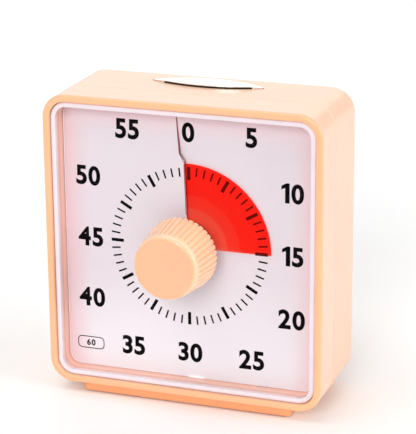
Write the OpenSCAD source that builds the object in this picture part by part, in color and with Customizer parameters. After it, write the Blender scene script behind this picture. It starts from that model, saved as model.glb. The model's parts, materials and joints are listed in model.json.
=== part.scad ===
// Visual countdown timer. A red disc slides through a slit in the dial sheet and shows the time left.
// Lengths are in millimetres. +Z is up and +Y runs from the dial to the back of the case.
// The origin is on the table, under the middle of the case.

/* [Case] */
// Width of the case
case_w = 80; // [78:1:92]
// Height of the case above its foot
case_h = 84; // [83:1:98]
// Radius of the case's corners, seen from the front
corner_r = 6.8; // [6.2:0.2:8]
// Thickness of the case's walls
wall = 2; // [1.8:0.1:2.3]
// Rounding of the bezel's front edge
front_edge_r = 0.9; // [0.4:0.1:1.3]
// Rounding of the case's rear edge
back_edge_r = 2; // [1:0.1:2.4]
// Depth of the rear housing behind the seam
housing_d = 20.7; // [20.5:0.1:26]
// Half width of the groove that shows at the seam
seam_groove = 0.18; // [0.1:0.02:0.3]
// Length of the tongue that joins the two halves of the case
tongue_l = 1.8; // [1.4:0.1:2.6]
// Clearance between parts that fit inside one another
fit = 0.08; // [0.05:0.01:0.12]

/* [Lens] */
// How far the lens lies behind the bezel's front edge
lens_set = 0.9; // [0.5:0.1:1.4]
// Depth of the lens's rim
lens_rim_d = 2.6; // [2.2:0.1:3.4]
// Thickness of the lens's window
lens_t = 1.4; // [1.2:0.1:1.6]
// Thickness of the lens's rim
lens_rim_t = 1.5; // [1.2:0.1:1.8]
// Rounding of the lens's front edge
lens_edge_r = 1.1; // [0.6:0.1:1.2]

/* [Dial] */
// Depth of the bezel's ledge, between the lens and the dial sheet
ledge_t = 3; // [2.6:0.1:4]
// How far the ledge stands in from the wall
ledge_in = 1.4; // [1.2:0.1:1.6]
// Thickness of the dial sheet
sheet_t = 0.3; // [0.2:0.05:0.35]
// Step between the two sides of the slit, which is the rise of the dial in one turn
dial_rise = 1.2; // [1.1:0.05:1.4]
// Radius of the time disc
disc_r = 23.8; // [21:0.2:25]
// Thickness of the time disc
disc_t = 0.2; // [0.15:0.05:0.25]
// Time that the disc shows, in minutes
shown_min = 15; // [5:1:55]
// How far the slit stands to the left of the middle at the edge of the disc
slit_set = 0.8; // [0:0.1:1.5]
// How far the slit stands to the left at the dial's top edge
slit_lean = 3.3; // [0:0.1:5]

/* [Knob] */
// Length of the knob
knob_l = 12.8; // [10:0.2:15]
// Radius of the knob at the dial
knob_r = 10.4; // [9.8:0.1:11.5]
// Radius of the knob at its front edge
knob_front_r = 9.1; // [8.6:0.1:9.6]
// Rounding of the knob's front edge
knob_edge_r = 1.5; // [1:0.1:2]
// Number of flutes round the knob
flutes = 40; // [30:1:44]
// Radius of one flute
flute_r = 0.35; // [0.25:0.05:0.5]
// Radius of the knob's shaft
shaft_r = 2; // [1.8:0.1:2.2]

/* [Top button] */
// Length of the oval button
button_l = 32.5; // [26:0.5:34]
// Width of the oval button
button_w = 8; // [7:0.2:8.6]
// Height of the button's crown above the case
button_crown = 1.3; // [1.1:0.1:2]
// How far the crown falls from its middle to its long edges
button_fall = 0.6; // [0.3:0.1:0.8]
// Travel of the button
button_travel = 1; // [0.6:0.1:1]

/* [Foot] */
// Width of the foot
foot_w = 61.5; // [50:0.5:66]
// Depth of the foot
foot_d = 27.2; // [24:0.2:28]
// Height of the foot, with its pad
foot_h = 3; // [2.6:0.1:5]
// How far the foot stands back from the front of the case
foot_set = 1.8; // [1:0.1:4]
// Radius of the foot's corners, seen from below
foot_r = 1.4; // [1:0.2:4]

/* [Battery] */
// Radius of the battery
cell_r = 7.25; // [7:0.05:7.3]
// Length of the battery, with its button end
cell_l = 50.5; // [49:0.1:50.5]
// Thickness of the battery door
door_t = 1.2; // [1:0.1:1.4]

/* [Movement] */
// Size of the teeth: the pitch diameter for each tooth
tooth_module = 0.4; // [0.38:0.01:0.4]
// Running clearance of the shafts
running = 0.05; // [0.03:0.01:0.08]

/* [Hidden] */
$fn = 64;

// Depths behind the bezel's front plane
ledge_y = lens_set + lens_rim_d;
sheet_y = ledge_y + ledge_t;
rim_y = sheet_y + sheet_t;
carrier_gap = 0.1;
floor_y = sheet_y + 1.5 * dial_rise + carrier_gap;
floor_t = 1.6;
carrier_back = floor_y + floor_t;
seam_y = carrier_back + tongue_l;
case_d = seam_y + housing_d;
back_t = 2;
back_in = case_d - back_t;

// Insides of the case, seen from the front, measured from the middle of the dial
in_w = case_w - 2 * wall;
in_h = case_h - 2 * wall;
in_r = corner_r - wall;
view_w = in_w - 2 * ledge_in;
view_h = in_h - 2 * ledge_in;
view_r = in_r - ledge_in;
floor_z = -in_h / 2;

// Dial and disc
disc_gap = (dial_rise - sheet_t - disc_t) / 2;
disc_sweep = 358;
dial_steps = 90;
hub_r = 5.5;
hub_flange_r = 7;
hub_flange_t = 0.4;
hub_y0 = sheet_y - 2.3;
hub_y1 = floor_y - 0.7;
dial_hole_r = hub_flange_r + 0.4;
fold_r = disc_r + 0.8;
sheet_margin = 0.4;
slit_turn = -asin(slit_set / disc_r);
slit_lean_turn = -atan(slit_lean / (view_h / 2));
ring_shares = [0, 0.15, 0.4, 0.7, 1];
shown_turn = shown_min * 6 - slit_turn;
seat_in = 0.5;

// Knob and shaft
knob_gap = 0.6;
knob_y1 = lens_set - knob_gap;
knob_y0 = knob_y1 - knob_l;
boss_r = 4.5;
boss_y = lens_set + lens_t + 0.4;
lens_hole_r = boss_r + 0.4;
press = 0.02;
shaft_flat = 0.5;
shaft_y0 = knob_y0 + 4.2;
knob_shell_t = 2.2;

// Movement
base_y0 = carrier_back;
base_t = 1.4;
base_floor = base_y0 + base_t;
movement_d = 12;
cover_y = base_y0 + movement_d;
cover_t = 1.4;
movement_x0 = -25;
movement_x1 = 17;
movement_z = 17.5;
movement_wall = 1.2;
bushing_r = 3.2;
bushing_flange_r = 4.4;
bushing_flange_t = 0.6;
collar_y = base_floor + bushing_flange_t + 0.2;
collar_t = 2;
collar_r = 4;
gear_y = collar_y + collar_t + 0.1;
gear_t = 1.4;
gear_hub_y = gear_y + gear_t + 0.6;
clip_y = gear_hub_y + 0.85;
clip_t = 0.6;
clip_r = 3.7;
groove_r = shaft_r - 0.4;
shaft_y1 = cover_y + cover_t + 0.8;
wheel_y = clip_y + 0.25;
wheel_t = 1.2;
arbor_r = 0.6;
arbor_y0 = base_floor - 0.8;
arbor_y1 = cover_y + 0.8;
// Teeth: the rotor turns 20 times for each turn of the clutch gear
clutch_teeth = 60;
second_teeth = 48;
pinion_teeth = 12;
clutch_pitch_r = clutch_teeth * tooth_module / 2;
second_pitch_r = second_teeth * tooth_module / 2;
pinion_pitch_r = pinion_teeth * tooth_module / 2;
second_angle = 154.5;
second_at = (clutch_pitch_r + pinion_pitch_r) * [cos(second_angle), sin(second_angle)];
rotor_angle = -90;
rotor_at = second_at + (second_pitch_r + pinion_pitch_r) * [cos(rotor_angle), sin(rotor_angle)];
magnet_r = 3;
magnet_y = base_floor + 0.9;
magnet_t = 1.7;
stator_y = magnet_y + 0.3;
stator_t = 1;
core_z = -14.4;
core_half = 0.8;
coil_r = 1.65;
coil_x0 = -9;
coil_x1 = 9;
movement_screw_in = 2.4;
post_r = 2;

// Circuit board and what it carries
board_w = 54;
board_y = back_in - 10.1;
board_t = 1.2;
board_back = board_y + board_t;
board_z0 = movement_z + 1.1;
board_h = 14;
board_z1 = board_z0 + board_h;
board_screw_x = board_w / 2 - 2.8;
board_screw_z = board_z0 + board_h / 2;
part_rise = 6.5;
part_z = board_z0 + part_rise;
switch_x = -14;
buzzer_x = 14;
buzzer_r = 6;

// Volume slider
slide_travel = 2;
slider_w = 4.4;
slider_h = 2.8;
slider_play = 0.3;

// Top button
button_y = back_in - 7.3;
button_arc_r = arc_radius(button_l, button_w / 2);
button_arc_y = button_arc_r - button_w / 2;
button_play = 0.15;
button_flange_t = 1.1;
button_tip = 0.15;
crown_r = arc_radius(button_l, button_crown - button_tip);
crown_side_r = arc_radius(button_w, button_fall);
plunger_r = 1.4;
shelf_z1 = in_h / 2 - 5.2;
shelf_t = 1.2;
shelf_half_w = 6;
shelf_front = 4;
plunger_z = shelf_z1 - shelf_t - 1.4;
spring_top = in_h / 2 - button_flange_t;

// Battery box: the battery lies along X, low in the back of the case
cell_gap = 0.35;
cell_play = 0.6;
cell_y = case_d - door_t - 0.1 - cell_play - cell_r;
cell_z = floor_z + cell_gap + cell_r;
box_w = cell_l + 6.5;
box_t = 1.3;
box_y = cell_y - cell_r - cell_gap;
box_z = cell_z + cell_r + cell_gap;
door_w = box_w + 2;
door_z0 = floor_z + 0.8;
door_z1 = box_z + 1.2;
door_r = 1.5;
door_ledge = 1.2;
contact_t = 0.4;
contact_half_w = 4.5;
contact_end = 0.5;
tab_half_w = 1.2;
tab_z1 = box_z + box_t + 2;
lead_r = 0.5;
lead_y = cover_y + cover_t + 2.1;
lead_x = board_w / 2 - 5;
lead_z = board_z0 + 1.8;

// Screws that hold the case
case_screw_in = 4.8;
case_screw_drop = 5.3;
case_post_r = 3.8;
screw_r = 1.25;
screw_head_r = 2.6;
screw_head_h = 1.8;
small_screw_r = 0.78;
small_pilot_r = 0.8;
small_hole_r = 0.95;
small_head_r = 1.7;
small_head_h = 1;
board_screw_l = 6;
board_post_r = 2.4;
case_screw_seat = carrier_back + 8;

// Heights of the case screws: in the upper corners, and just above the battery box
case_screw_z = [in_h / 2 + wall - case_screw_drop, box_z + box_t + case_post_r + 0.4];

// Lugs on the lens's rim: [place along X, width]
lens_lugs = [[1.9, 4.8], [21.7, 3]];

// The radius of the arc that stands a height above a chord.
function arc_radius(chord, height) = (pow(chord / 2, 2) + pow(height, 2)) / (2 * height);

// Moves a shape from the dial's own axes to the part's.
module on_dial() {
    translate([0, -case_d / 2, foot_h + case_h / 2]) children();
}

// A plate parallel to the dial, from depth y0 to depth y1, with its outline seen from the front.
module plate(y0, y1) {
    translate([0, y1, 0]) rotate([90, 0, 0]) linear_extrude(y1 - y0) children();
}

// A shape turned round the knob's axis, with its profile drawn as [radius, depth].
module turned() {
    rotate([-90, 0, 0]) rotate_extrude() children();
}

// A rod parallel to the knob's axis.
module rod(r, y0, y1) {
    translate([0, y0, 0]) rotate([-90, 0, 0]) cylinder(r = r, h = y1 - y0);
}

// A box between two corners.
module block(low, high) {
    translate(low) cube(high - low);
}

// A rectangle with round corners.
module rounded(w, h, r) {
    square([w - 2 * r, h], center = true);
    square([w, h - 2 * r], center = true);
    for (x = [-1, 1], z = [-1, 1])
        translate([x * (w / 2 - r), z * (h / 2 - r)]) circle(r);
}

// Cuts the corner at the origin to a radius. The material lies towards -X and +Y.
module corner_cut(r) {
    difference() {
        translate([-r, -1]) square([r + 1, r + 1]);
        translate([-r, r]) circle(r);
    }
}

// Sweeps a profile round a rounded rectangle. The profile's X is r on the outline and 0 at the
// corners' centres, and its Y is the depth.
module frame_sweep(w, h, r) {
    corners = [[1, -1], [-1, -1], [-1, 1], [1, 1]];
    for (q = [0:3]) {
        reach = q % 2 == 0 ? w / 2 - r : h / 2 - r;
        run = q % 2 == 0 ? h - 2 * r : w - 2 * r;
        rotate([0, 90 * q, 0]) translate([reach, 0, -run / 2]) linear_extrude(run) children();
        translate([corners[q][0] * (w / 2 - r), 0, corners[q][1] * (h / 2 - r)])
            rotate([0, 90 * q, 0]) rotate([-90, 0, 0]) rotate_extrude(angle = 90) children();
    }
}

// The flat middle that a swept rim of radius r leaves open.
module middle(w, h, r, y0, y1) {
    block([r - w / 2, y0, r - h / 2], [w / 2 - r, y1, h / 2 - r]);
}

module at_case_screws() {
    for (x = [-1, 1], z = case_screw_z) translate([x * (case_w / 2 - case_screw_in), 0, z]) children();
}

module at_movement_screws() {
    for (x = [movement_x0 + movement_screw_in, movement_x1 - movement_screw_in], z = [-1, 1])
        translate([x, 0, z * (movement_z - movement_screw_in)]) children();
}

module at_board_screws() {
    for (x = [-1, 1]) translate([x * board_screw_x, 0, board_screw_z]) children();
}

// ---- Case ----

module bezel_profile() {
    difference() {
        union() {
            translate([in_r, 0]) square([wall, seam_y]);
            translate([view_r, ledge_y]) square([ledge_in + wall, ledge_t]);
        }
        translate([corner_r, 0]) corner_cut(front_edge_r);
        translate([corner_r, seam_y]) rotate(45) square(seam_groove * sqrt(2), center = true);
    }
}

module front_bezel() {
    boss_front = rim_y + 0.1;
    pilot_front = boss_front + 0.5;
    color("#fdc294") on_dial() difference() {
        union() {
            frame_sweep(case_w, case_h, corner_r) bezel_profile();
            at_case_screws() rod(case_post_r, boss_front, carrier_back);
        }
        at_case_screws() rod(screw_r + press, pilot_front, carrier_back + 1);
    }
}

module housing_profile() {
    difference() {
        union() {
            translate([in_r, seam_y]) square([wall, housing_d]);
            translate([0, back_in]) square([corner_r, back_t]);
            translate([in_r - 1 - fit, carrier_back]) square([1, tongue_l + 2]);
            translate([in_r - 1 - fit, seam_y]) square([1 + fit, 2]);
        }
        translate([corner_r, case_d]) mirror([0, 1]) corner_cut(back_edge_r);
        translate([corner_r, seam_y]) rotate(45) square(seam_groove * sqrt(2), center = true);
    }
}

// The oval of the top button, grown by a play, as a column between two heights.
module button_column(play, z0, z1) {
    intersection_for (y = [button_y - button_arc_y, button_y + button_arc_y])
        translate([0, y, z0]) cylinder(r = button_arc_r + play, h = z1 - z0, $fn = 128);
}

// Walls of the battery box, open at the back.
module battery_box() {
    difference() {
        block([-box_w / 2 - box_t, box_y - box_t, floor_z - 0.5],
            [box_w / 2 + box_t, back_in + 0.5, box_z + box_t]);
        block([-box_w / 2, box_y, floor_z], [box_w / 2, back_in + 1, box_z]);
        for (side = [0, 1]) mirror([side, 0, 0]) contact_tab(0.1);
    }
}

// The way out of the battery box, and the rebate that the door lies in. The rebate's corners are
// sharper than the door's, which leaves room for them as the door tips.
module battery_way() {
    door_h = door_z1 - door_z0;
    door_mid = (door_z0 + door_z1) / 2;
    rebate = case_d - door_t - 0.1;
    translate([0, 0, door_mid]) {
        plate(rebate, case_d + 1)
            rounded(door_w + 2 * fit + 0.2, door_h + 2 * fit + 0.2, door_r - 0.7);
        plate(back_in - 1, case_d) rounded(door_w - 2 * door_ledge, door_h - 2 * door_ledge, door_r - 0.5);
    }
}

// Sound slots before the buzzer, shorter towards its edge.
module sound_slots() {
    slot_w = 1.3;
    slot_h = 9.6;
    for (i = [-2:2])
        translate([buzzer_x + 2 * slot_w * i, 0, part_z])
            plate(back_in - 1, case_d + 1) rounded(slot_w, slot_h - 1.6 * abs(i), slot_w * 0.46);
}

// Slot and thumb recess of the volume slider.
module slider_way() {
    translate([switch_x, 0, part_z]) {
        plate(case_d - 0.9, case_d + 1) rounded(15, 7, 1.5);
        plate(back_in - 1, case_d)
            rounded(slider_w + 2 * slide_travel + 2 * slider_play, slider_h + 2 * slider_play, 0.5);
    }
}

module rear_housing() {
    color("#fdd9bf") on_dial() difference() {
        union() {
            frame_sweep(case_w, case_h, corner_r) housing_profile();
            middle(case_w, case_h, corner_r, back_in, case_d);
            battery_box();
            at_case_screws() rod(case_post_r, seam_y + 0.5, back_in + 0.5);
            intersection() {
                at_case_screws() rod(case_post_r, carrier_back, seam_y + 1);
                plate(carrier_back, seam_y + 1) rounded(in_w - 2 * fit, in_h - 2 * fit, in_r - fit);
            }
            at_board_screws() rod(board_post_r, board_back, back_in + 0.5);
            block([-shelf_half_w, button_y - shelf_front, shelf_z1 - shelf_t],
                [shelf_half_w, back_in + 0.5, shelf_z1]);
        }
        at_case_screws() {
            rod(1.5, carrier_back - 1, case_d);
            rod(screw_head_r + 0.3, case_screw_seat, case_d + 1);
        }
        at_board_screws() rod(small_pilot_r, board_back - 1, board_back + board_screw_l);
        battery_way();
        sound_slots();
        slider_way();
        button_column(button_play, in_h / 2 - 1, case_h / 2 + 1);
        translate([0, button_y, shelf_z1 - shelf_t - 1]) cylinder(r = plunger_r + 0.15, h = shelf_t + 2);
        for (x = [-1, 1], y = [0, 1]) foot_peg(x, y, press, 0.1);
    }
}

// ---- Lens ----

module lens_profile(r) {
    difference() {
        union() {
            translate([0, lens_set]) square([r, lens_t]);
            translate([r - lens_rim_t, lens_set]) square([lens_rim_t, lens_rim_d]);
        }
        translate([r, lens_set]) corner_cut(lens_edge_r);
    }
}

module lens() {
    w = in_w - 2 * fit;
    h = in_h - 2 * fit;
    r = in_r - fit;
    lug_t = 0.8;
    color("#f3e7ee", 0.3) on_dial() difference() {
        union() {
            frame_sweep(w, h, r) lens_profile(r);
            middle(w, h, r, lens_set, lens_set + lens_t);
            for (lug = lens_lugs, side = [-1, 1])
                translate([lug[0], 0, side * (view_h / 2 - 0.1 - lug_t / 2)])
                    block([-lug[1] / 2, lens_set + lens_t - 0.2, -lug_t / 2],
                        [lug[1] / 2, sheet_y - 0.2, lug_t / 2]);
        }
        rod(lens_hole_r, lens_set - 1, lens_set + lens_t + 1);
    }
}

// ---- Dial ----

// The turn that a point lies clockwise of the slit, as a depth below the dial's middle.
function rise_at(turn) = dial_rise * (0.5 - turn / 360);

// The distance from the middle to a rounded rectangle's outline, along a turn clockwise from the top.
function outline_reach(turn, half_w, half_h, r) =
    let (u = abs(sin(turn)), v = abs(cos(turn)), c = [half_w - r, half_h - r])
    u * half_h <= c[0] * v ? half_h / v
    : v * half_w <= c[1] * u ? half_w / u
    : let (along = c[0] * u + c[1] * v) along + sqrt(along * along - c * c + r * r);

// A point on a ring between the disc's edge and the window's. Beyond the disc the slit steps left.
function ring_point(turn, share, flat_share) =
    let (
        step = min(1, share / ring_shares[1]),
        lean = slit_turn + (slit_lean_turn - slit_turn) * step,
        view = outline_reach(turn + lean, view_w / 2 - seat_in, view_h / 2 - seat_in, view_r),
        reach = fold_r + (view - fold_r) * share
    )
    [reach * sin(turn + lean), sheet_y + rise_at(turn) * (1 - flat_share), reach * cos(turn + lean)];

function ease(s) = s * s * (3 - 2 * s);

// The points of the sheet's front face, ring by ring from the hole outwards.
function sheet_ring(k, n, turn) =
    k == 0 ? let (at = turn + slit_turn)
        [dial_hole_r * sin(at), sheet_y + rise_at(turn), dial_hole_r * cos(at)]
    : k == n ? let (
            lean = slit_lean_turn,
            reach = outline_reach(turn + lean, in_w / 2 - sheet_margin, in_h / 2 - sheet_margin, in_r)
        )
        [reach * sin(turn + lean), sheet_y, reach * cos(turn + lean)]
    : let (share = ring_shares[k - 1]) ring_point(turn, share, ease(share));

// A thin sheet between two faces that have the same grid of points, rings by turns.
module sheet(front, back) {
    rings = len(front);
    steps = len(front[0]);
    function id(face, k, i) = face * rings * steps + k * steps + i;
    points = [for (face = [front, back], ring = face, p = ring) p];
    faces = concat(
        [for (k = [0:rings - 2], i = [0:steps - 2]) for (t = [
            [id(0, k, i), id(0, k + 1, i), id(0, k + 1, i + 1)],
            [id(0, k, i), id(0, k + 1, i + 1), id(0, k, i + 1)],
            [id(1, k, i), id(1, k + 1, i + 1), id(1, k + 1, i)],
            [id(1, k, i), id(1, k, i + 1), id(1, k + 1, i + 1)]]) t],
        [for (i = [0:steps - 2]) for (t = [
            [id(0, 0, i), id(0, 0, i + 1), id(1, 0, i + 1)],
            [id(0, 0, i), id(1, 0, i + 1), id(1, 0, i)],
            [id(0, rings - 1, i), id(1, rings - 1, i + 1), id(0, rings - 1, i + 1)],
            [id(0, rings - 1, i), id(1, rings - 1, i), id(1, rings - 1, i + 1)]]) t],
        [for (k = [0:rings - 2]) for (t = [
            [id(0, k, 0), id(1, k, 0), id(1, k + 1, 0)],
            [id(0, k, 0), id(1, k + 1, 0), id(0, k + 1, 0)],
            [id(0, k, steps - 1), id(1, k + 1, steps - 1), id(1, k, steps - 1)],
            [id(0, k, steps - 1), id(0, k + 1, steps - 1), id(1, k + 1, steps - 1)]]) t]);
    polyhedron(points, faces, convexity = 6);
}

module dial_sheet() {
    n = len(ring_shares) + 1;
    slit = 0.5;
    turns = [for (i = [0:dial_steps]) slit / 2 + (360 - slit) * i / dial_steps];
    front = [for (k = [0:n]) [for (a = turns) sheet_ring(k, n, a)]];
    back = [for (ring = front) [for (p = ring) p + [0, sheet_t, 0]]];
    color("#eee8ee") on_dial() sheet(front, back);
}

// A thin helical sector that follows the dial, from one turn to another, at a set depth behind it.
module helical_sector(r0, r1, t, turn0, turn1, behind) {
    steps = dial_steps;
    turns = [for (i = [0:steps]) turn0 + (turn1 - turn0) * i / steps];
    front = [for (r = [r0, r1]) [for (a = turns) let (at = a + slit_turn)
        [r * sin(at), sheet_y + rise_at(a) + behind, r * cos(at)]]];
    sheet(front, [for (ring = front) [for (p = ring) p + [0, t, 0]]]);
}

module time_disc() {
    color("#ec2a1e", 0.9) on_dial()
        helical_sector(hub_r + press, disc_r, disc_t, shown_turn - disc_sweep, shown_turn,
            -disc_gap - disc_t);
}

module disc_hub() {
    color("#e9e4dd") on_dial() difference() {
        union() {
            rod(hub_r, hub_y0, hub_y1);
            helical_sector(hub_r - 0.4, hub_flange_r, hub_flange_t, shown_turn - disc_sweep, shown_turn,
                press - disc_gap);
        }
        shaft_hole(running, hub_y0 - 1, hub_y1 + 1);
    }
}

module dial_carrier() {
    w = in_w - 2 * fit;
    h = in_h - 2 * fit;
    color("#f4f2ee") on_dial() difference() {
        plate(rim_y, carrier_back) rounded(w, h, in_r - fit);
        plate(rim_y - 1, floor_y) rounded(view_w, view_h, view_r);
        rod(bushing_r + press, floor_y - 1, carrier_back + 1);
        at_case_screws() rod(case_post_r + 0.2, rim_y - 1, carrier_back + 1);
        at_movement_screws() rod(small_pilot_r, floor_y + 0.3, carrier_back + 1);
    }
}

// ---- Knob and shaft ----

// The flatted hole or shaft section, grown by a play.
module shaft_section(play) {
    difference() {
        circle(shaft_r + play);
        translate([shaft_r - shaft_flat + play, -2 * shaft_r]) square([shaft_r, 4 * shaft_r]);
    }
}

module shaft_hole(play, y0, y1) {
    plate(y0, y1) shaft_section(play);
}

module knob_profile() {
    taper = knob_r - knob_front_r;
    shell_y = knob_y0 + knob_shell_t + 0.6;
    inside_r = knob_front_r - knob_shell_t;
    edge = [for (a = [0:11.25:90])
        [knob_front_r - knob_edge_r * (1 - cos(a)), knob_y0 + knob_edge_r * (1 - sin(a))]];
    polygon(concat(
        [[0, boss_y], [boss_r, boss_y], [boss_r, shell_y], [inside_r, shell_y]],
        [[inside_r + taper, knob_y1], [knob_r, knob_y1]],
        edge,
        [[0, knob_y0]]));
}

// One flute, cut along the knob's tapered side.
module flute() {
    lean = atan((knob_r - knob_front_r) / (knob_l - knob_edge_r));
    run = knob_l - knob_edge_r - 1.1;
    translate([knob_r + flute_r * 0.1, knob_y1, 0]) rotate([0, 0, lean]) {
        translate([0, -run, 0]) rotate([-90, 0, 0]) cylinder(r = flute_r, h = run + 1, $fn = 24);
        translate([0, -run, 0]) sphere(r = flute_r, $fn = 24);
    }
}

module knob() {
    color("#fdc79c") on_dial() difference() {
        turned() knob_profile();
        for (i = [0:flutes - 1]) rotate([0, i * 360 / flutes, 0]) flute();
        shaft_hole(press, shaft_y0 - 0.2, boss_y + 1);
    }
}

module knob_shaft() {
    color("#c8ccd0") on_dial() difference() {
        rod(shaft_r, shaft_y0, shaft_y1);
        block([shaft_r - shaft_flat, shaft_y0 - 1, -shaft_r], [shaft_r + 1, floor_y, shaft_r]);
        difference() {
            rod(shaft_r + 1, clip_y, clip_y + clip_t);
            rod(groove_r, clip_y - 1, clip_y + clip_t + 1);
        }
    }
}

// ---- Movement ----

module bushing(y0, y1, flange_y) {
    difference() {
        union() {
            rod(bushing_r, y0, y1);
            rod(bushing_flange_r, flange_y, flange_y + bushing_flange_t);
        }
        rod(shaft_r + running, y0 - 1, y1 + 1);
    }
}

module front_bushing() {
    color("#c9a24a") on_dial() bushing(floor_y, base_floor + bushing_flange_t, base_floor);
}

module rear_bushing() {
    flange_y = cover_y - bushing_flange_t;
    color("#c9a24a") on_dial() bushing(flange_y, cover_y + cover_t, flange_y);
}

module clutch_collar() {
    color("#b9bdc2") on_dial() difference() {
        rod(collar_r, collar_y, collar_y + collar_t);
        rod(shaft_r + press, collar_y - 1, collar_y + collar_t + 1);
    }
}

// Outline of a gear, with a tooth on the turn given, anticlockwise from +X as seen from the front.
function gear_points(teeth, turn) =
    let (
        pitch_r = teeth * tooth_module / 2,
        tip_r = pitch_r + tooth_module * 0.85,
        root_r = pitch_r - tooth_module * 1.15,
        half = 90 / teeth * 0.9,
        tooth = [
            [root_r, -1.55], [pitch_r, -1], [tip_r, -0.42],
            [tip_r, 0.42], [pitch_r, 1], [root_r, 1.55]
        ]
    )
    [for (i = [0:teeth - 1], p = tooth)
        let (a = turn + 360 * i / teeth + p[1] * half) p[0] * [cos(a), sin(a)]];

module gear(teeth, turn, y0, y1) {
    plate(y0, y1) polygon(gear_points(teeth, turn));
}

module clutch_gear() {
    color("#f2efe6") on_dial() difference() {
        union() {
            gear(clutch_teeth, second_angle, gear_y, gear_y + gear_t);
            rod(3.4, gear_y, gear_hub_y);
        }
        rod(shaft_r + running, gear_y - 1, gear_hub_y + 1);
        for (a = [0:60:300]) rotate([0, a, 0])
            translate([7.2, 0, 0]) rod(2.3, gear_y - 1, gear_y + gear_t + 1);
    }
}

module clutch_spring() {
    rise = clip_y - gear_hub_y - 0.3;
    color("#aab0b6") on_dial() turned() polygon([
        [shaft_r + 0.2, gear_hub_y], [shaft_r + 0.2, gear_hub_y + 0.3],
        [clip_r, gear_hub_y + 0.3 + rise], [clip_r, gear_hub_y + rise]
    ]);
}

module shaft_clip() {
    color("#8d9298") on_dial() difference() {
        rod(clip_r, clip_y, clip_y + clip_t);
        rod(groove_r + press, clip_y - 1, clip_y + clip_t + 1);
        block([-groove_r - press, clip_y - 1, -clip_r - 1], [groove_r + press, clip_y + clip_t + 1, 0]);
    }
}

module second_wheel() {
    color("#f0ece0") on_dial() translate([second_at[0], 0, second_at[1]]) {
        rod(arbor_r, arbor_y0, arbor_y1);
        rod(1.5, gear_y + gear_t, wheel_y + 0.5);
        gear(pinion_teeth, second_angle + 180 + 180 / pinion_teeth, gear_y - 0.3, gear_y + gear_t + 0.3);
        difference() {
            gear(second_teeth, rotor_angle, wheel_y, wheel_y + wheel_t);
            for (a = [0:72:288]) rotate([0, a, 0])
                translate([5.4, 0, 0]) rod(2, wheel_y - 1, wheel_y + wheel_t + 1);
        }
    }
}

module rotor() {
    color("#d8d4ca") on_dial() translate([rotor_at[0], 0, rotor_at[1]]) {
        rod(arbor_r, arbor_y0, arbor_y1);
        rod(magnet_r, magnet_y, magnet_y + magnet_t);
        gear(pinion_teeth, rotor_angle + 180 + 180 / pinion_teeth, wheel_y - 0.3, wheel_y + wheel_t + 0.3);
    }
}

module stator() {
    ring_r = magnet_r + 2.2;
    bar_z = core_z + core_half + 1.2;
    color("#9da2a8") on_dial() difference() {
        plate(stator_y, stator_y + stator_t) {
            translate(rotor_at) circle(ring_r);
            translate([rotor_at[0] - ring_r + 0.4, core_z - core_half]) square([4.6, rotor_at[1] - core_z]);
            translate([rotor_at[0], bar_z]) square([coil_x1 + 2.4 - rotor_at[0], 1.7]);
            translate([coil_x1 + 0.4, core_z - core_half]) square([2, bar_z + 1.7 - core_z + core_half]);
            translate([rotor_at[0] - 2, core_z - core_half])
                square([coil_x1 + 2 - rotor_at[0], 2 * core_half]);
        }
        translate([rotor_at[0], 0, rotor_at[1]]) rod(magnet_r + 0.4, stator_y - 1, stator_y + stator_t + 1);
    }
}

module coil() {
    mid_y = stator_y + stator_t / 2;
    color("#b5651d") on_dial() difference() {
        union() {
            for (x = [coil_x0, coil_x1 - 0.6])
                translate([x, mid_y, core_z]) rotate([0, 90, 0]) cylinder(r = coil_r, h = 0.6);
            translate([coil_x0, mid_y, core_z]) rotate([0, 90, 0])
                cylinder(r = coil_r - 0.3, h = coil_x1 - coil_x0);
        }
        block([coil_x0 - 1, stator_y - press, core_z - core_half - press],
            [coil_x1 + 1, stator_y + stator_t + press, core_z + core_half + press]);
    }
}

module movement_outline(inset) {
    translate([(movement_x0 + movement_x1) / 2, 0])
        rounded(movement_x1 - movement_x0 - 2 * inset, 2 * movement_z - 2 * inset, 2.5 - inset);
}

module at_arbors() {
    for (p = [second_at, rotor_at]) translate([p[0], 0, p[1]]) children();
}

module movement_base() {
    color("#dfe3e6") on_dial() difference() {
        union() {
            difference() {
                plate(base_y0, cover_y) movement_outline(0);
                plate(base_floor, cover_y + 1) movement_outline(movement_wall);
            }
            at_movement_screws() rod(post_r, base_y0, cover_y);
        }
        at_movement_screws() rod(small_hole_r, base_y0 - 1, cover_y + 1);
        rod(bushing_r + press, base_y0 - 1, base_floor + 1);
        at_arbors() rod(arbor_r + running, arbor_y0 - 0.1, cover_y);
    }
}

module movement_cover() {
    color("#e6e9ec") on_dial() difference() {
        plate(cover_y, cover_y + cover_t) movement_outline(0);
        at_movement_screws() rod(small_hole_r, cover_y - 1, cover_y + cover_t + 1);
        rod(bushing_r + press, cover_y - 1, cover_y + cover_t + 1);
        at_arbors() rod(arbor_r + running, cover_y - 1, arbor_y1 + 0.1);
    }
}

// ---- Electrics ----

module circuit_board() {
    color("#3f7d4f") on_dial() difference() {
        block([-board_w / 2, board_y, board_z0], [board_w / 2, board_back, board_z1]);
        at_board_screws() rod(small_hole_r, board_y - 1, board_back + 1);
    }
}

module tact_switch() {
    half = 3;
    body_z1 = plunger_z - button_travel - 0.7;
    color("#3b3b3f") on_dial() {
        block([-half, board_back, body_z1 - 5], [half, button_y + half, body_z1]);
        translate([0, button_y, body_z1]) cylinder(r = 1.2, h = 0.6);
    }
}

module buzzer() {
    color("#2c2c30") on_dial() translate([buzzer_x, 0, part_z]) difference() {
        rod(buzzer_r, board_back, back_in - 0.3);
        rod(1, back_in - 3, back_in);
    }
}

module switch_body() {
    color("#4a4d52") on_dial() translate([switch_x, 0, part_z])
        block([-6, board_back, -2.8], [6, back_in - 0.9, 2.8]);
}

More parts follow.
